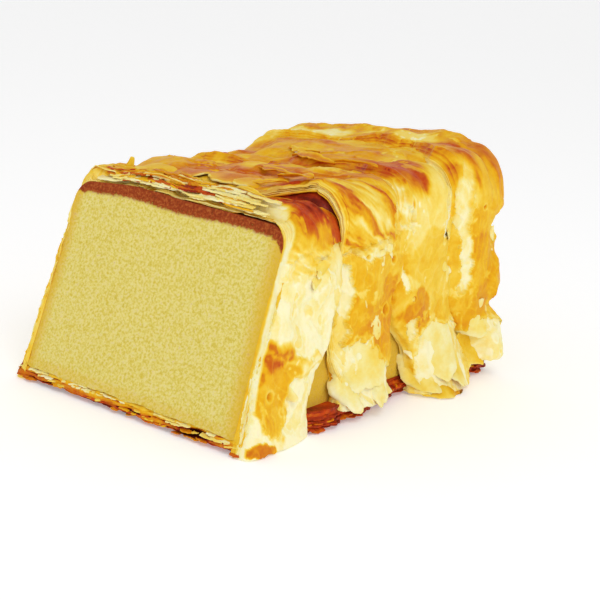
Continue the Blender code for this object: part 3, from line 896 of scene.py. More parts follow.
def make_base(material):
    """The layered pastry under the cheesecake, ragged at its rim and brown underneath."""
    base = grid_sheet("pastry_base", BASE_CELLS_ROUND, sum(BASE_COUNTS))
    flat = corner_array(base.data)
    step = flat[:, 1] * sum(BASE_COUNTS)
    ends = np.cumsum((0, *BASE_COUNTS))
    inset = np.interp(step, ends, (30, 0, 0, 12))
    depth = np.interp(step, ends, (0, 0, 1, 1))
    in_wall = (step > ends[1] - 0.5) & (step < ends[2] + 0.5)
    x, y, sideways, endways, walked = base_outline(flat[:, 0], inset)
    at_side = np.abs(sideways)
    wobble = 0.9 * crags(walked, depth * 3, 13, 3, 700, 3)
    leaf, from_crack = leaf_and_crack(depth * BASE_LEAVES + wobble)
    broken = smooth_share(0.5 + 1.5 * crags(walked, leaf * 9.0, 9, 5, 703, 3) + 0.3 * at_side)
    crack = smooth_share((0.2 - from_crack) / 0.14) * broken * smooth_share(3.2 - 4 * depth)
    ragged = 0.9 * crags(walked, leaf * 9.0, 5, 5, 710, 4) - 0.7 * crack
    crumbly = 0.5 * crags(walked, depth * 6, 1.4, 1.4, 714, 3)
    stand_out = ragged * (1 + 0.8 * at_side) * smooth_share(2.6 - 2.6 * depth)
    stand_out = stand_out + crumbly * np.sin(math.pi * depth)
    # a hollow low in the base's front wall: set back, and darkened to near black as painted shade
    hollow = np.exp(-(((x - 31) / 5) ** 2) - ((depth - 0.35) / 0.2) ** 2) * (endways < 0)
    stand_out = stand_out - 3.0 * hollow - 1.2 * smooth_share(6 * depth - 3.6)
    x = x + sideways * stand_out * in_wall
    y = y + endways * stand_out * in_wall
    z = depth * (BASE_THICKNESS + 0.3)
    rim = smooth_share(1 - 4 * depth) * smooth_share(1 - inset / 9)
    z = z + rim * (1.3 + 0.8 * crags(walked, leaf * 0, 6, 6, 718, 4))
    y = y + CUT_SLANT * (z - BASE_THICKNESS) * np.clip(1 - y / LOAF_LENGTH, 0, 1)
    bake = 0.42 + 0.18 * crags(walked, leaf * 5.0, 12, 5, 720, 3) + 0.16 * crumbly
    # the 0.5 * hollow term is painted shade in that hollow
    bake += 0.34 * smooth_share(2.2 - depth * 3.6) + 0.45 * crack + 0.5 * hollow
    bake += 0.16 * smooth_share(1.3 - depth * 5) + at_side * 0.48
    bake = np.where(at_side > 0, np.clip(bake, 0.74, 0.90 + 0.05 * crumbly), bake)
    bake = np.where(in_wall, bake, 0.90 + 0.06 * crags(x, y, 4, 4, 722, 3))
    shape_mesh(base.data, np.stack([x, y, z], 1), bake)
    close_up(base)
    finish_piece(base, material, "pastry_wrap")


# ---------------------------------------------------------------- loose-edged leaves
def leaf_places(unit, leaf, seed):
    """Where one leaf's corners go: rooted in its strip's crust, its free edge lifted and torn."""
    number, at_round, at_along, heading, length, width, rise, curl, bow, _ = leaf
    share, side, depth = unit.T
    side = 2 * side - 1
    reach = np.maximum(np.abs(2 * share - 1), np.abs(side))
    angle = np.arctan2(side, 2 * share - 1)
    rim_walk = angle * (length + width) / 4
    low = smooth_share(1 - min(at_round, AROUND - at_round) / 40)
    wander = (0.10 + 0.06 * low) * length if length > 12 else 0.26 * length
    ragged = wander * crags(rim_walk + 50 * seed, reach * 0, 8, 8, 900, 2)
    ragged = ragged + (0.9 + 1.1 * low) * crags(rim_walk + 50 * seed, reach * 0, 4.2, 4.2, 907, 3)
    ragged = ragged + 0.6 * crags(rim_walk + 50 * seed, reach * 0, 1.6, 1.6, 904, 3)
    corner = np.clip(np.abs(2 * share - 1) * np.abs(side), 0, 1) ** 2
    squeeze = 1 - (0.42 - 0.14 * low) * corner * reach
    ahead = (share - 0.5) * squeeze * length
    ahead = ahead + ragged * reach**3 * np.cos(angle) + bow * length * side**2
    aside = side * squeeze * width / 2 + ragged * reach**3 * np.sin(angle)
    turned = math.radians(heading)
    toward_foot = ahead * math.cos(turned) - aside * math.sin(turned)
    toward_far = ahead * math.sin(turned) + aside * math.cos(turned)
    round_ = at_round - toward_foot * (1 - curl * np.clip(share - 0.5, 0, 1))
    along = at_along + toward_far * (1 - curl * np.clip(share - 0.5, 0, 1))
    folds = crags(ahead + 9 * seed, aside, 9, 8, 950, 2)
    folds = folds + 0.6 * low * crags(ahead + 9 * seed, aside, 3.8, 3.0, 953, 3)
    bumps = (0.3 + (0.3 + 1.2 * low) * share) * folds
    root = 0.9 + 1.3 * low
    lift = -root + (root + rise) * share**1.1 + curl * 3.5 * np.clip(share - 0.55, 0, 1) ** 1.5 + bumps
    lift = lift - (root + 0.3 + rise) * np.abs(side) ** (4 - 0.8 * low)
    out = seat_at(number, round_, along) + lift + (depth - 0.5) * 0.38
    return round_, along, out, share, side, depth, reach, low * folds


def leaf_bake(leaf, share, side, depth, reach, folds, seed):
    """Golden on top and in its folds, cream at the torn edges, browner at its root."""
    bake = leaf[-1]
    colour = bake + 0.06 + 0.10 * crags(share * 14 + 7 * seed, side * 9, 6, 6, 960, 3) - 0.2 * folds
    colour = colour - 0.10 * smooth_share((reach - 0.6) / 0.4)
    colour = colour + 0.14 * smooth_share(1 - 2.5 * share) * (0.3 + bake)
    edge_shows = smooth_share(0.6 + 1.3 * crags(side * 14 + 3 * seed, share * 9, 3, 3, 964, 2))
    colour = colour + (0.12 - colour) * smooth_share((reach - 0.92) / 0.05) * (share > 0.3) * edge_shows
    return np.where(depth < 0.5, np.where(reach > 0.96, 0.16, 0.62), colour)


def base_flake_places(unit, flake, seed):
    """Where one flake's corners go: rooted in the base's wall, its torn edge standing out."""
    turn, height, reach_out, width, droop = flake
    share, side, depth = unit.T
    side = 2 * side - 1
    spread = np.full_like(share, turn) + side * width / BASE_FLAKE_SPREAD
    x, y, sideways, endways, _ = base_outline(spread, 0.0)
    ragged = 0.7 * crags(side * width + 30 * seed, side * 0, 2.2, 2.2, 970, 3) * share
    out = -1.2 + (1.2 + reach_out) * share * (1 - 0.35 * side**2) + ragged
    z = height - droop * share**1.5 + 0.3 * crags(side * width, share * 3, 3, 3, 974 + seed % 7, 2)
    z = np.clip(z + (depth - 0.5) * 0.35, 0.15, BASE_THICKNESS)
    x = x + sideways * out
    y = y + endways * out + CUT_SLANT * (z - BASE_THICKNESS) * np.clip(1 - y / LOAF_LENGTH, 0, 1)
    return np.stack([x, y, z], 1), share, side, depth


def make_base_flakes(material):
    """Thin flakes round the base's rim: pale in its upper leaves, browned in the lower ones."""
    draw = np.random.default_rng(12)
    pattern = flat_slab("base_flakes_pattern", 10, 4)
    unit = corner_array(pattern.data)[:, (1, 0, 2)]
    shapes = []
    for index in range(BASE_FLAKES):
        turn = (index + draw.uniform(-0.4, 0.4)) / BASE_FLAKES
        height = draw.uniform(0.7, 4.4)
        browned = smooth_share((3.6 - height) / 2.2)
        flake = (turn, height, draw.uniform(0.2, 1.0), draw.uniform(2, 7), draw.uniform(-0.2, 0.6))
        places, share, side, _ = base_flake_places(unit, flake, index)
        at_side = abs(base_outline(np.array([turn]), 0.0)[2][0])
        bake = 0.20 + 0.50 * browned + draw.normal(0, 0.07)
        bake = bake + 0.08 * crags(side * 6, share * 4, 3, 3, index, 2)
        shapes.append((places, bake + (0.5 - 0.3 * browned) * at_side))
    join_copies("base_flakes", pattern, shapes, material)


def make_leaves(name, leaves, cells, material, seed):
    """Joins many leaves, each its own curved sheet, into one piece."""
    pattern = flat_slab(name + "_pattern", *cells)
    unit = corner_array(pattern.data)
    shapes = []
    for index, leaf in enumerate(leaves, start=seed):
        round_, along, out, share, side, depth, reach, folds = leaf_places(unit, leaf, index)
        height = place(round_, along, out)[:, 2]
        lowest = CUT_SLANT * (height - BASE_THICKNESS) + 0.5
        along = np.clip(along, lowest, LOAF_LENGTH - 0.5)
        colour = leaf_bake(leaf, share, side, depth, reach, folds, index)
        shapes.append((place(round_, along, out), colour))
    join_copies(name, pattern, shapes, material)


# Each row: strip, distance round, distance along, heading in degrees (0 towards the right foot,
# 90 towards the far end), length ahead, width, rise of the free edge, curl, bow and bake.
TOP_LEAVES = (
    (0, 147, 27, 266, 9, 20, 0.5, 0.0, 0.25, 0.50),
    (0, 131, 28, 285, 9, 15, 0.5, 0.1, 0.3, 0.72),
    (0, 136, 33, 300, 10, 14, 0.9, 0.1, -0.2, 0.60),
    (0, 113, 30, 252, 9, 15, 0.7, 0.1, 0.3, 0.70),
    (0, 100, 30, 275, 6, 10, 0.5, 0.0, 0.2, 0.30),
    (0, 146, 33, 100, 5, 3.4, 2.4, 0.3, 0.0, 0.45),
    (1, 137, 41, 262, 13, 18, 1.6, -1.0, -0.3, 0.40),
    (1, 121, 42, 285, 12, 15, 1.8, -1.0, -0.3, 0.66),
    (1, 105, 43, 255, 13, 18, 1.8, -1.0, -0.2, 0.58),
    (1, 94, 40, 244, 10, 16, 1.2, -0.6, 0.1, 0.52),
)
FOOT_LEAVES = (
    (1, 24, 60, 2, 30, 26, 0.3, 0.0, 0.05, 0.10),
    (1, 14, 50, 12, 20, 12, 0.8, 0.1, 0.05, 0.07),
    (1, 12, 66, 350, 18, 12, 0.7, 0.1, 0.05, 0.09),
    (2, 19, 101, 6, 24, 24, 2.0, 0.0, 0.10, 0.08),
    (2, 9, 94, 10, 16, 13, 1.2, 0.2, 0.05, 0.12),
    (2, 10, 110, 346, 16, 14, 2.0, 0.3, 0.05, 0.14),
    (2, 3, 104, 352, 8, 22, 0.5, 0.0, 0.10, 0.50),
    (3, 22, 128, 4, 14, 16, 0.6, 0.0, 0.05, 0.12),
    (3, 10, 124, 8, 12, 12, 0.8, 0.0, 0.10, 0.36),
)


# Curled shreds on the top. Each row: strip, distances round and along where it starts and where it
# ends, how far its middle sags towards the cut, width, arch, twist in degrees and bake.
CURLED_SHREDS = (
    (0, 140, 33, 108, 27, 3.0, 3.0, 0.7, 40, 0.74),
    (0, 134, 36, 100, 28, 4.5, 2.4, 0.9, -30, 0.55),
    (0, 128, 38, 104, 31, 4.0, 2.2, 1.2, 40, 0.66),
    (0, 150, 30, 126, 26, 1.5, 2.6, 0.8, 40, 0.60),
    (0, 132, 24, 110, 22, 0.8, 1.8, 0.6, -30, 0.24),
    (0, 122, 38, 116, 30, 1.0, 1.8, 1.8, 40, 0.68),
    (0, 114, 38, 110, 31, 1.0, 1.6, 1.8, -30, 0.44),
    (0, 100, 33, 80, 28, 1.5, 2.2, 0.9, 30, 0.46),
    (1, 96, 38, 78, 36, 1.2, 2.2, 0.8, 30, 0.60),
    (1, 92, 48, 74, 44, 1.0, 4.0, 0.5, -20, 0.58),
    (1, 110, 60, 88, 52, 2.0, 4.2, 0.2, 10, 0.70),
    (2, 116, 86, 92, 80, 1.0, 4.5, 0.2, 10, 0.66),
    (2, 96, 82, 74, 80, 0.5, 2.0, 0.7, -30, 0.74),
    (2, 126, 97, 108, 92, 1.6, 3.5, 0.1, 8, 0.52),
)


def shred_places(unit, shred, seed):
    """Where one curled shred's corners go: a narrow twisted leaf lying over its strip."""
    number, from_round, from_along, to_round, to_along, sag, width, arch, twist, _ = shred
    share, side, depth = unit.T
    side = 2 * side - 1
    hump = 4 * share * (1 - share)
    taper = hump**0.35 * (0.8 + 0.8 * crags(share * 30 + 40 * seed, 3.0 * np.sign(side), 5, 5, 980, 3))
    turned = np.radians(twist) * np.sin(math.pi * share * 1.3)
    reach = side * taper * width / 2
    round_ = from_round + (to_round - from_round) * share
    along = from_along + (to_along - from_along) * share - sag * hump + reach * np.cos(turned)
    lift = -0.5 + (0.6 + arch) * hump**0.7 + reach * np.sin(turned) + 0.12 * width * side**2
    lift = lift + 0.3 * crags(share * 30, side + 9 * seed, 7, 4, 984, 2)
    out = seat_at(number, round_, along) + lift + (depth - 0.5) * 0.4
    return round_, along, out, share, side, depth


def make_shreds(material):
    pattern = flat_slab("shred_pattern", 36, 4)
    unit = corner_array(pattern.data)
    shapes = []
    for index, shred in enumerate(CURLED_SHREDS):
        round_, along, out, share, side, depth = shred_places(unit, shred, index)
        height = place(round_, along, out)[:, 2]
        along = np.maximum(along, CUT_SLANT * (height - BASE_THICKNESS) + 0.3)
        colour = shred[-1] + 0.12 * crags(share * 30, side * 2 + 20 * index, 8, 2, 988, 3)
        colour = np.where(np.abs(side) > 0.9, 0.6 * colour, colour)
        shapes.append((place(round_, along, out), np.where(depth < 0.5, 0.7, colour)))
    join_copies("curled_shreds", pattern, shapes, material)


def make_inner_leaf(material):
    """The browned leaf that shows inside the open mouth under the second strip's lip."""
    leaf = flat_slab("browned_inner_leaf", 70, 30)
    share, inward, depth = corner_array(leaf.data).T
    round_ = 56 + 48 * share
    lip = strip_span(1, round_)[0]
    start = strip_span(0, round_)[1] - 3
    along = start + (lip + 3 - start) * inward
    ceiling = between_stations(STRIP_LIFTS[1][0], round_) - 0.3
    out = 1.0 + (np.maximum(ceiling, 1.0) - 1.0) * smooth_share(1.1 * inward)
    out = out + 0.5 * crags(round_, along, 12, 3, 1010, 3) * np.sin(math.pi * inward) + (depth - 0.5) * 0.4
    streaks = crags(round_, along, 16, 1.6, 1015, 3)
    shape_mesh(leaf.data, place(round_, along, out), 0.93 + 0.07 * streaks)
    finish_leaves(leaf, material)


RIM_FLAKES, SIDE_RIM_FLAKES = 84, 56  # over the top, and down both sides
RIGHT_RIM_FLAKES = 34  # of those down the sides


def rim_flake_places(unit, flake, seed):
    """Where one flake's corners go: rooted in the torn rim over the cut, its edge standing out."""
    at_round, level, reach_out, width, droop = flake
    share, side, depth = unit.T
    side = 2 * side - 1
    round_ = at_round + side * width / 2
    section, normal = on_section(round_)
    front = strip_edge(CUT, round_, section[:, 1])
    back = 4.0 * steps(np.full_like(share, 2 * level - 1), 3) * smooth_share(normal[:, 1])
    ragged = 0.7 * crags(side * width + 30 * seed, side * 0, 2.0, 2.0, 1030, 3) * share
    out = top_rise(round_) - 0.3 + level * (seat_at(0, round_, front + 5) - 1.0) - droop * share**1.5
    out = out + 0.3 * crags(side * width, share * 3, 3, 3, 1034 + seed % 7, 2) + (depth - 0.5) * 0.5
    height = place(round_, front, out)[:, 2]
    ahead = (1.6 + reach_out) * share * (1 - 0.35 * side**2) + ragged
    return place(round_, front + CUT_SLANT * (height - section[:, 1]) + back + 1.6 - ahead, out), share, side


def rim_flake_rows():
    """Each row: distance round, height in the rim from 0 to 1, reach, width, droop and bake."""
    draw = np.random.default_rng(31)
    rows = []
    for index in range(RIM_FLAKES):
        at_round = 78 + 64 * (index / RIM_FLAKES) ** 0.8 + draw.normal(0, 1.5)
        level = draw.uniform(0.3, 1.05)
        cream = draw.random() < (0.9 if at_round < 100 else 0.8 if level < 0.5 else 0.35)
        bake = draw.uniform(0.06, 0.24) if cream else draw.choice([0.52, 0.66, 0.78, 0.86])
        shape = (draw.uniform(0.1, 1.1), draw.uniform(6, 16), draw.uniform(-0.5, 0.5))
        rows.append((at_round, level, *shape, bake))
    for index in range(SIDE_RIM_FLAKES):
        on_right = index < RIGHT_RIM_FLAKES
        at_round = draw.uniform(4, 48) if on_right else AROUND - draw.uniform(4, 48)
        shape = (draw.uniform(0.0, 0.45), draw.uniform(5, 14), draw.uniform(-0.4, 0.4))
        bake = draw.choice([0.04, 0.10, 0.18, 0.42] if on_right else [0.24, 0.34, 0.46])
        rows.append((at_round, draw.uniform(0.15, 0.68), *shape, bake))
    return rows


def make_rim_flakes(material):
    """Torn slivers of leaf in the rim round the cut: cream, golden and red-brown."""
    pattern = flat_slab("rim_flakes_pattern", 12, 4)
    unit = corner_array(pattern.data)[:, (1, 0, 2)]
    shapes = []
    for index, (*flake, bake) in enumerate(rim_flake_rows()):
        places, share, side = rim_flake_places(unit, flake, index)
        shapes.append((places, bake + 0.08 * crags(side * 6, share * 4, 3, 3, index, 2)))
    join_copies("rim_flakes", pattern, shapes, material)


def mirrored(leaves):
    """The same leaves on the loaf's left side, pointing to the left foot."""
    return [(leaf[0], AROUND - leaf[1], leaf[2], 180 - leaf[3], *leaf[4:]) for leaf in leaves]


SIDE_LEAVES = 30


def side_leaves():
    """Small torn leaves scattered over both sides, mostly cream."""
    draw = np.random.default_rng(77)
    leaves = []
    bounds = ((4, 34), (46, 72), (82, 112), (122, 136))
    for _ in range(SIDE_LEAVES):
        number = int(draw.integers(0, 4))
        at_round, at_along = draw.uniform(14, 60), draw.uniform(*bounds[number])
        at_along = max(at_along, 14 + CUT_SLANT * at_round)
        heading = draw.choice([0, 330, 60, 300, 180]) + draw.normal(0, 20)
        size = draw.uniform(4, 10)
        shape = (size, size * draw.uniform(0.5, 0.9), draw.uniform(0.0, 0.5), 0.0, 0.0)
        bake = draw.choice([0.06, 0.10, 0.16, 0.26])
        if draw.random() < 0.5:
            at_round = AROUND - at_round
        leaves.append((number, at_round, at_along, heading, *shape, bake))
    return leaves


# ---------------------------------------------------------------- the cheesecake
CAKE_CELLS = (210, 24, 150)  # across, along and up
SKIN = 3.2  # thickness of the browned top
LOWEST_SKIN = 11  # how far below the top the browning ends
MARGIN = 6.5  # width of the deeper yellow margins of the cut


def cake_block():
    """A cube one unit each way, standing on the floor, cut into cells."""
    bpy.ops.object.select_all(action="DESELECT")
    bpy.ops.mesh.primitive_cube_add(size=1, location=(0, 0.5, 0.5))
    cake = bpy.context.object
    cake.name = "cheesecake_block"
    bpy.ops.object.transform_apply(location=True, rotation=False, scale=False)
    shape = bmesh.new()
    shape.from_mesh(cake.data)
    for axis in (0, 2, 1):
        for share in np.linspace(0, 1, CAKE_CELLS[axis] + 1)[1:-1]:
            place_on = [0.0, 0.0, 0.0]
            place_on[axis] = share - (0.5 if axis == 0 else 0)
            facing = [0.0, 0.0, 0.0]
            facing[axis] = 1.0
            geom = [*shape.verts, *shape.edges, *shape.faces]
            bmesh.ops.bisect_plane(shape, geom=geom, plane_co=place_on, plane_no=facing)
    shape.to_mesh(cake.data)
    shape.free()
    return cake


def cake_section(across, up):
    """The cake's section with rounded upper corners: places, and distances in from each side."""
    half = CAKE_WIDTH / 2 + (CAKE_TOP_WIDTH - CAKE_WIDTH) / 2 * up
    x = across * half
    z = up * CAKE_HEIGHT
    from_side = half * (1 - np.abs(across))
    from_top = CAKE_HEIGHT - z
    corner_side = np.clip(CAKE_CORNER - from_side, 0, None)
    corner_top = np.clip(CAKE_CORNER - from_top, 0, None)
    reach = np.hypot(corner_side, corner_top)
    squeeze = np.where(reach > 0, np.maximum(corner_side, corner_top) / np.maximum(reach, 1e-6), 1)
    in_corner = corner_top * corner_side > 0
    x = np.where(in_corner, np.sign(x) * (np.abs(x) - corner_side * (1 - squeeze)), x)
    z = np.where(in_corner, z - corner_top * (1 - squeeze), z)
    return x, z, half, from_side, from_top


def browned_top(x, y, z, from_side, from_top):
    """How far each place is browned: a band along the top that turns down at the right corner."""
    round_corner = from_side * 1.15 + 0.75 + 0.9 * np.clip(from_top - 4.5, 0, 99)
    depth_in = np.where(x > 0, np.minimum(from_top, round_corner), from_top)
    band = SKIN + 1.1 * np.exp(-(((x + 8) / 22) ** 2)) + 0.4 * crags(x, y, 12, 12, 811, 3)
    band = band + 0.3 * crags(x, z, 1.7, 1.7, 815, 2)
    browned = smooth_share((band + 1.1 - depth_in) / 2.2)
    return np.where(z < BASE_THICKNESS + CAKE_HEIGHT - LOWEST_SKIN, 0, browned)


def make_cake(material):
    """The block of cheesecake: fine crumb on both cut ends, and a browned top."""
    cake = cake_block()
    flat = corner_array(cake.data)
    along = flat[:, 1]
    x, z, half, from_side, from_top = cake_section(flat[:, 0] * 2, flat[:, 2])
    at_front, at_back = along < 1e-6, along > 1 - 1e-6
    outward = at_front * 1.0 - at_back * 1.0
    crumb = 0.13 * crags(x, z, 1.6, 1.6, 801, 3) + 0.05 * crags(x, z, 0.8, 0.8, 805, 1)
    inner = smooth_share(np.minimum(from_side, np.minimum(z, from_top)) / 1.5)
    y = along * LOAF_LENGTH + CUT_SLANT * z * np.clip(1 - along / 0.2, 0, 1)
    y = y + crumb * inner * outward + at_front * 0.12
    rough = 1 + 0.6 * crags(x, z, 1.2, 1.2, 823, 3)
    y = y - outward * 0.7 * smooth_share(1 - z / 2.5) * rough
    low_edge = (at_front | at_back) * smooth_share(1 - z / 4)
    z = z - low_edge * (1.9 + 0.9 * crags(x, x * 0, 6, 6, 821, 5))
    z = z + BASE_THICKNESS
    rising = top_rise(TOP_MIDDLE - x) * smooth_share(z / CAKE_HEIGHT * 4 - 3)
    rising = rising * np.clip(1 - (y - 20) / TOP_RISE_FADE, 0, 1)
    z = z + climb(x, y, z) + rising
    x = x + 0.6 * rising * x / half
    shape_mesh(cake.data, np.stack([x, y, z], 1), browned_top(x, y, z, from_side, from_top))
    at_sides = smooth_share(1 - from_side * np.where(x > 0, 0.75, 1.1) / MARGIN)
    at_foot = 0.35 * smooth_share(1 - (z - BASE_THICKNESS) / 2.5)
    rim = cake.data.attributes.new("margin", "FLOAT", "POINT")
    rim.data.foreach_set("value", np.maximum(at_sides, at_foot).astype(np.float32))
    only_select(cake)
    bpy.ops.object.shade_smooth_by_angle(angle=math.radians(45))
    finish_piece(cake, material, "cheesecake")


# ---------------------------------------------------------------- materials
def new_material(name):
    made = bpy.data.materials.new(name)
    made.use_nodes = True
    made.node_tree.nodes.clear()
    return made, made.node_tree


def add_node(tree, kind, settings):
    """Adds a node: each setting is an input's value, or a link to it, or a property."""
    node = tree.nodes.new(kind)
    for key, value in settings.items():
        if key not in node.inputs:
            setattr(node, key, value)
        elif isinstance(value, bpy.types.NodeSocket):
            tree.links.new(value, node.inputs[key])
        else:
            node.inputs[key].default_value = value
    return node


def ramp(tree, stops, factor):
    node = tree.nodes.new("ShaderNodeValToRGB")
    bands = node.color_ramp.elements
    while len(bands) < len(stops):
        bands.new(0.5)
    for band, (position, colour) in zip(bands, stops):
        band.position = position
        band.color = (*colour, 1)
    tree.links.new(factor, node.inputs["Fac"])
    return node.outputs["Color"]


def math_node(tree, operation, first, second):
    node = tree.nodes.new("ShaderNodeMath")
    node.operation = operation
    for socket, value in zip(node.inputs, (first, second)):
        if isinstance(value, (int, float)):
            socket.default_value = value
        else:
            tree.links.new(value, socket)
    return node.outputs["Value"]


def swing(tree, factor, amount):
    """A factor from 0 to 1 made to swing about 0, by this amount in all."""
    return math_node(tree, "MULTIPLY", math_node(tree, "SUBTRACT", factor, 0.5), amount)


def noise_node(tree, coordinates, scale, detail):
    settings = {"Vector": coordinates, "Scale": scale, "Detail": detail, "Roughness": 0.6}
    return add_node(tree, "ShaderNodeTexNoise", settings).outputs["Fac"]


def object_coordinates(tree):
    return tree.nodes.new("ShaderNodeTexCoord").outputs["Object"]


def stored(tree, name):
    return add_node(tree, "ShaderNodeAttribute", {"attribute_name": name}).outputs["Fac"]


def mix_colour(tree, factor, first, second):
    node = tree.nodes.new("ShaderNodeMix")
    node.data_type = "RGBA"
    for socket, value in zip((node.inputs[0], node.inputs[6], node.inputs[7]), (factor, first, second)):
        if isinstance(value, (int, float)):
            socket.default_value = value
        elif isinstance(value, tuple):
            socket.default_value = (*value, 1)
        else:
            tree.links.new(value, socket)
    return node.outputs[2]


def bump_node(tree, height, strength):
    settings = {"Height": height, "Strength": strength, "Distance": 0.0004}
    return add_node(tree, "ShaderNodeBump", settings).outputs["Normal"]


def finish_material(tree, settings):
    shader = add_node(tree, "ShaderNodeBsdfPrincipled", settings)
    add_node(tree, "ShaderNodeOutputMaterial", {"Surface": shader.outputs["BSDF"]})


PASTRY_COLOURS = (
    (0.00, (0.95, 0.89, 0.56)),
    (0.12, (0.92, 0.80, 0.33)),
    (0.25, (0.91, 0.69, 0.14)),
    (0.40, (0.87, 0.57, 0.042)),
    (0.52, (0.82, 0.44, 0.008)),
    (0.62, (0.75, 0.31, 0.006)),
    (0.72, (0.64, 0.18, 0.006)),
    (0.84, (0.54, 0.058, 0.006)),
    (0.93, (0.26, 0.020, 0.006)),
    (1.00, (0.07, 0.006, 0.003)),
)
CRUMB_COLOURS = ((0.32, (0.63, 0.47, 0.04)), (0.50, (0.745, 0.62, 0.150)), (0.68, (0.87, 0.79, 0.38)))
CRUMB_MOTTLE, MARGIN_COLOUR = (0.72, 0.60, 0.15), (0.73, 0.44, 0.024)
TOP_COLOURS = ((0.30, (0.18, 0.023, 0.005)), (0.5, (0.33, 0.053, 0.010)), (0.72, (0.46, 0.130, 0.025)))


def pastry_material():
    """Baked pastry: cream where leaves are torn, golden where glazed, red-brown where browned."""
    made, tree = new_material("baked_pastry_crust")
    place_on = object_coordinates(tree)
    mottle = noise_node(tree, place_on, 160, 5)
    grain = noise_node(tree, place_on, 700, 3)
    bake = math_node(tree, "ADD", stored(tree, "bake"), swing(tree, mottle, 0.34))
    bake = math_node(tree, "ADD", bake, swing(tree, grain, 0.12))
    limits = {"Value": bake, "From Min": 0.2, "From Max": 0.6, "To Min": 0.7, "To Max": 0.4}
    fine = math_node(tree, "ADD", grain, math_node(tree, "MULTIPLY", mottle, 0.8))
    settings = {
        "Base Color": ramp(tree, PASTRY_COLOURS, bake),
        "Roughness": add_node(tree, "ShaderNodeMapRange", limits).outputs["Result"],
        "Specular IOR Level": 0.06,
        "Coat Weight": 0.06,
        "Coat Roughness": 0.16,
        "Subsurface Weight": 0.12,
        "Subsurface Radius": (1.0, 0.55, 0.2),
        "Subsurface Scale": 0.0012,
        "Normal": bump_node(tree, fine, 0.45),
    }
    finish_material(tree, settings)
    return made


def crumb_material():
    """Pale yellow fine crumb with tiny pores, deeper at its margins, under a browned skin."""
    made, tree = new_material("cheesecake_crumb")
    place_on = object_coordinates(tree)
    fine = noise_node(tree, place_on, 1150, 4)
    mid = noise_node(tree, place_on, 260, 4)
    pores = add_node(tree, "ShaderNodeTexVoronoi", {"Vector": place_on, "Scale": 620})
    pore = ramp(tree, ((0.10, (0, 0, 0)), (0.42, (1, 1, 1))), pores.outputs["Distance"])
    crumb = ramp(tree, CRUMB_COLOURS, fine)
    crumb = mix_colour(tree, math_node(tree, "MULTIPLY", mid, 0.2), crumb, CRUMB_MOTTLE)
    edge = mix_colour(tree, 0.85, crumb, MARGIN_COLOUR)
    crumb = mix_colour(tree, stored(tree, "margin"), crumb, edge)
    speckled = math_node(tree, "ADD", stored(tree, "bake"), swing(tree, fine, 1.7))
    shares = ((0.15, (0, 0, 0)), (0.45, (0.5, 0.5, 0.5)), (0.75, (1, 1, 1)))
    colour = mix_colour(tree, ramp(tree, shares, speckled), crumb, ramp(tree, TOP_COLOURS, fine))
    rise = math_node(tree, "ADD", fine, math_node(tree, "MULTIPLY", pore, 0.5))
    settings = {
        "Base Color": colour,
        "Roughness": 0.85,
        "Specular IOR Level": 0.12,
        "Subsurface Weight": 0.15,
        "Subsurface Radius": (1.0, 0.7, 0.25),
        "Subsurface Scale": 0.001,
        "Normal": bump_node(tree, rise, 0.6),
    }
    finish_material(tree, settings)
    return made


def floor_material():
    made, tree = new_material("pale_floor")
    settings = {
        "Base Color": (0.92, 0.92, 0.92, 1),
        "Roughness": 0.7,
        "Emission Color": (1, 1, 1, 1),
        "Emission Strength": 0.24,
    }
    finish_material(tree, settings)
    return made


# ---------------------------------------------------------------- studio
def add_floor():
    bpy.ops.object.select_all(action="DESELECT")
    bpy.ops.mesh.primitive_plane_add(size=6, location=(0, 0, -0.0002))
    floor = bpy.context.object
    floor.name = "floor"
    floor.data.materials.append(floor_material())


LIGHTS_AIM = (0, 0, 0.03)


def add_light(name, spot, size, power):
    """A square soft light at a spot, aimed at the loaf."""
    lamp = bpy.data.lights.new(name, "AREA")
    lamp.size = size
    lamp.energy = power
    holder = bpy.data.objects.new(name, lamp)
    bpy.context.scene.collection.objects.link(holder)
    holder.location = spot
    toward = Vector(LIGHTS_AIM) - Vector(spot)
    holder.rotation_euler = toward.to_track_quat("-Z", "Y").to_euler()


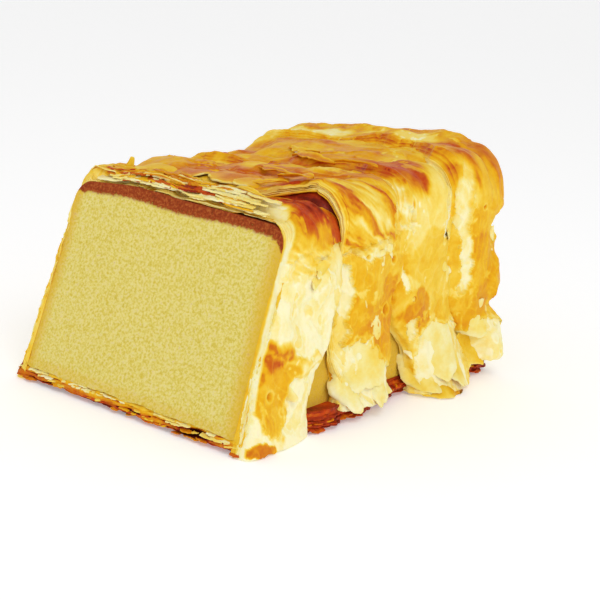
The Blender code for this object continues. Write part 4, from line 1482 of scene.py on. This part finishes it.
def set_up_studio():
    scene = bpy.context.scene
    scene.view_settings.view_transform = "Standard"
    world = bpy.data.worlds.new("studio")
    scene.world = world
    world.use_nodes = True
    tree = world.node_tree
    direction = tree.nodes.new("ShaderNodeTexCoord").outputs["Generated"]
    height = tree.nodes.new("ShaderNodeSeparateXYZ")
    tree.links.new(direction, height.inputs["Vector"])
    shades = ((0.0, (1.0, 1.0, 1.0)), (0.35, (0.92, 0.92, 0.92)), (1.0, (0.62, 0.62, 0.62)))
    sky = ramp(tree, shades, height.outputs["Z"])
    tree.links.new(sky, tree.nodes["Background"].inputs["Color"])
    tree.nodes["Background"].inputs["Strength"].default_value = 0.91
    add_light("key", (0.55, -0.35, 0.75), 0.35, 2.1)
    add_light("fill", (-0.7, -0.7, 0.5), 0.8, 0.3)


FRAME_PIXELS, FOCAL = 600, 1464  # the frame's width and the focal length, both in pixels
SENSOR = 36
EYE = (314.13, -329.17, 160.51)  # from the middle of the cut's lower edge, in mm
RIGHT = (0.78555, 0.61412, 0.07599)
DOWN = (0.22103, -0.16378, -0.96142)
AHEAD = (-0.57798, 0.77204, -0.26440)


def add_camera():
    lens = bpy.data.cameras.new("camera")
    lens.sensor_width = SENSOR
    lens.lens = SENSOR * FOCAL / FRAME_PIXELS
    lens.clip_start = 0.01
    camera = bpy.data.objects.new("camera", lens)
    bpy.context.scene.collection.objects.link(camera)
    turn = Matrix([RIGHT, [-v for v in DOWN], [-v for v in AHEAD]]).transposed()
    foot = Vector((TO_FRAME + (0, 0, BASE_THICKNESS)) * MM)
    camera.matrix_world = Matrix.Translation(foot + Vector(EYE) * MM) @ turn.to_4x4()
    bpy.context.scene.camera = camera


# ---------------------------------------------------------------- everything
pastry = pastry_material()
make_cake(crumb_material())
make_base(pastry)
for strip_number in range(len(STRIP_EDGES)):
    make_strip(strip_number, pastry)
make_base_flakes(pastry)
make_leaves("crisp_top_leaves", TOP_LEAVES, (46, 22), pastry, 3)
make_leaves("ruffled_foot_leaves", [*FOOT_LEAVES, *mirrored(FOOT_LEAVES)], (40, 20), pastry, 203)
make_leaves("torn_side_leaves", side_leaves(), (12, 8), pastry, 503)
make_rim_flakes(pastry)
make_shreds(pastry)
make_inner_leaf(pastry)
add_floor()
set_up_studio()
add_camera()
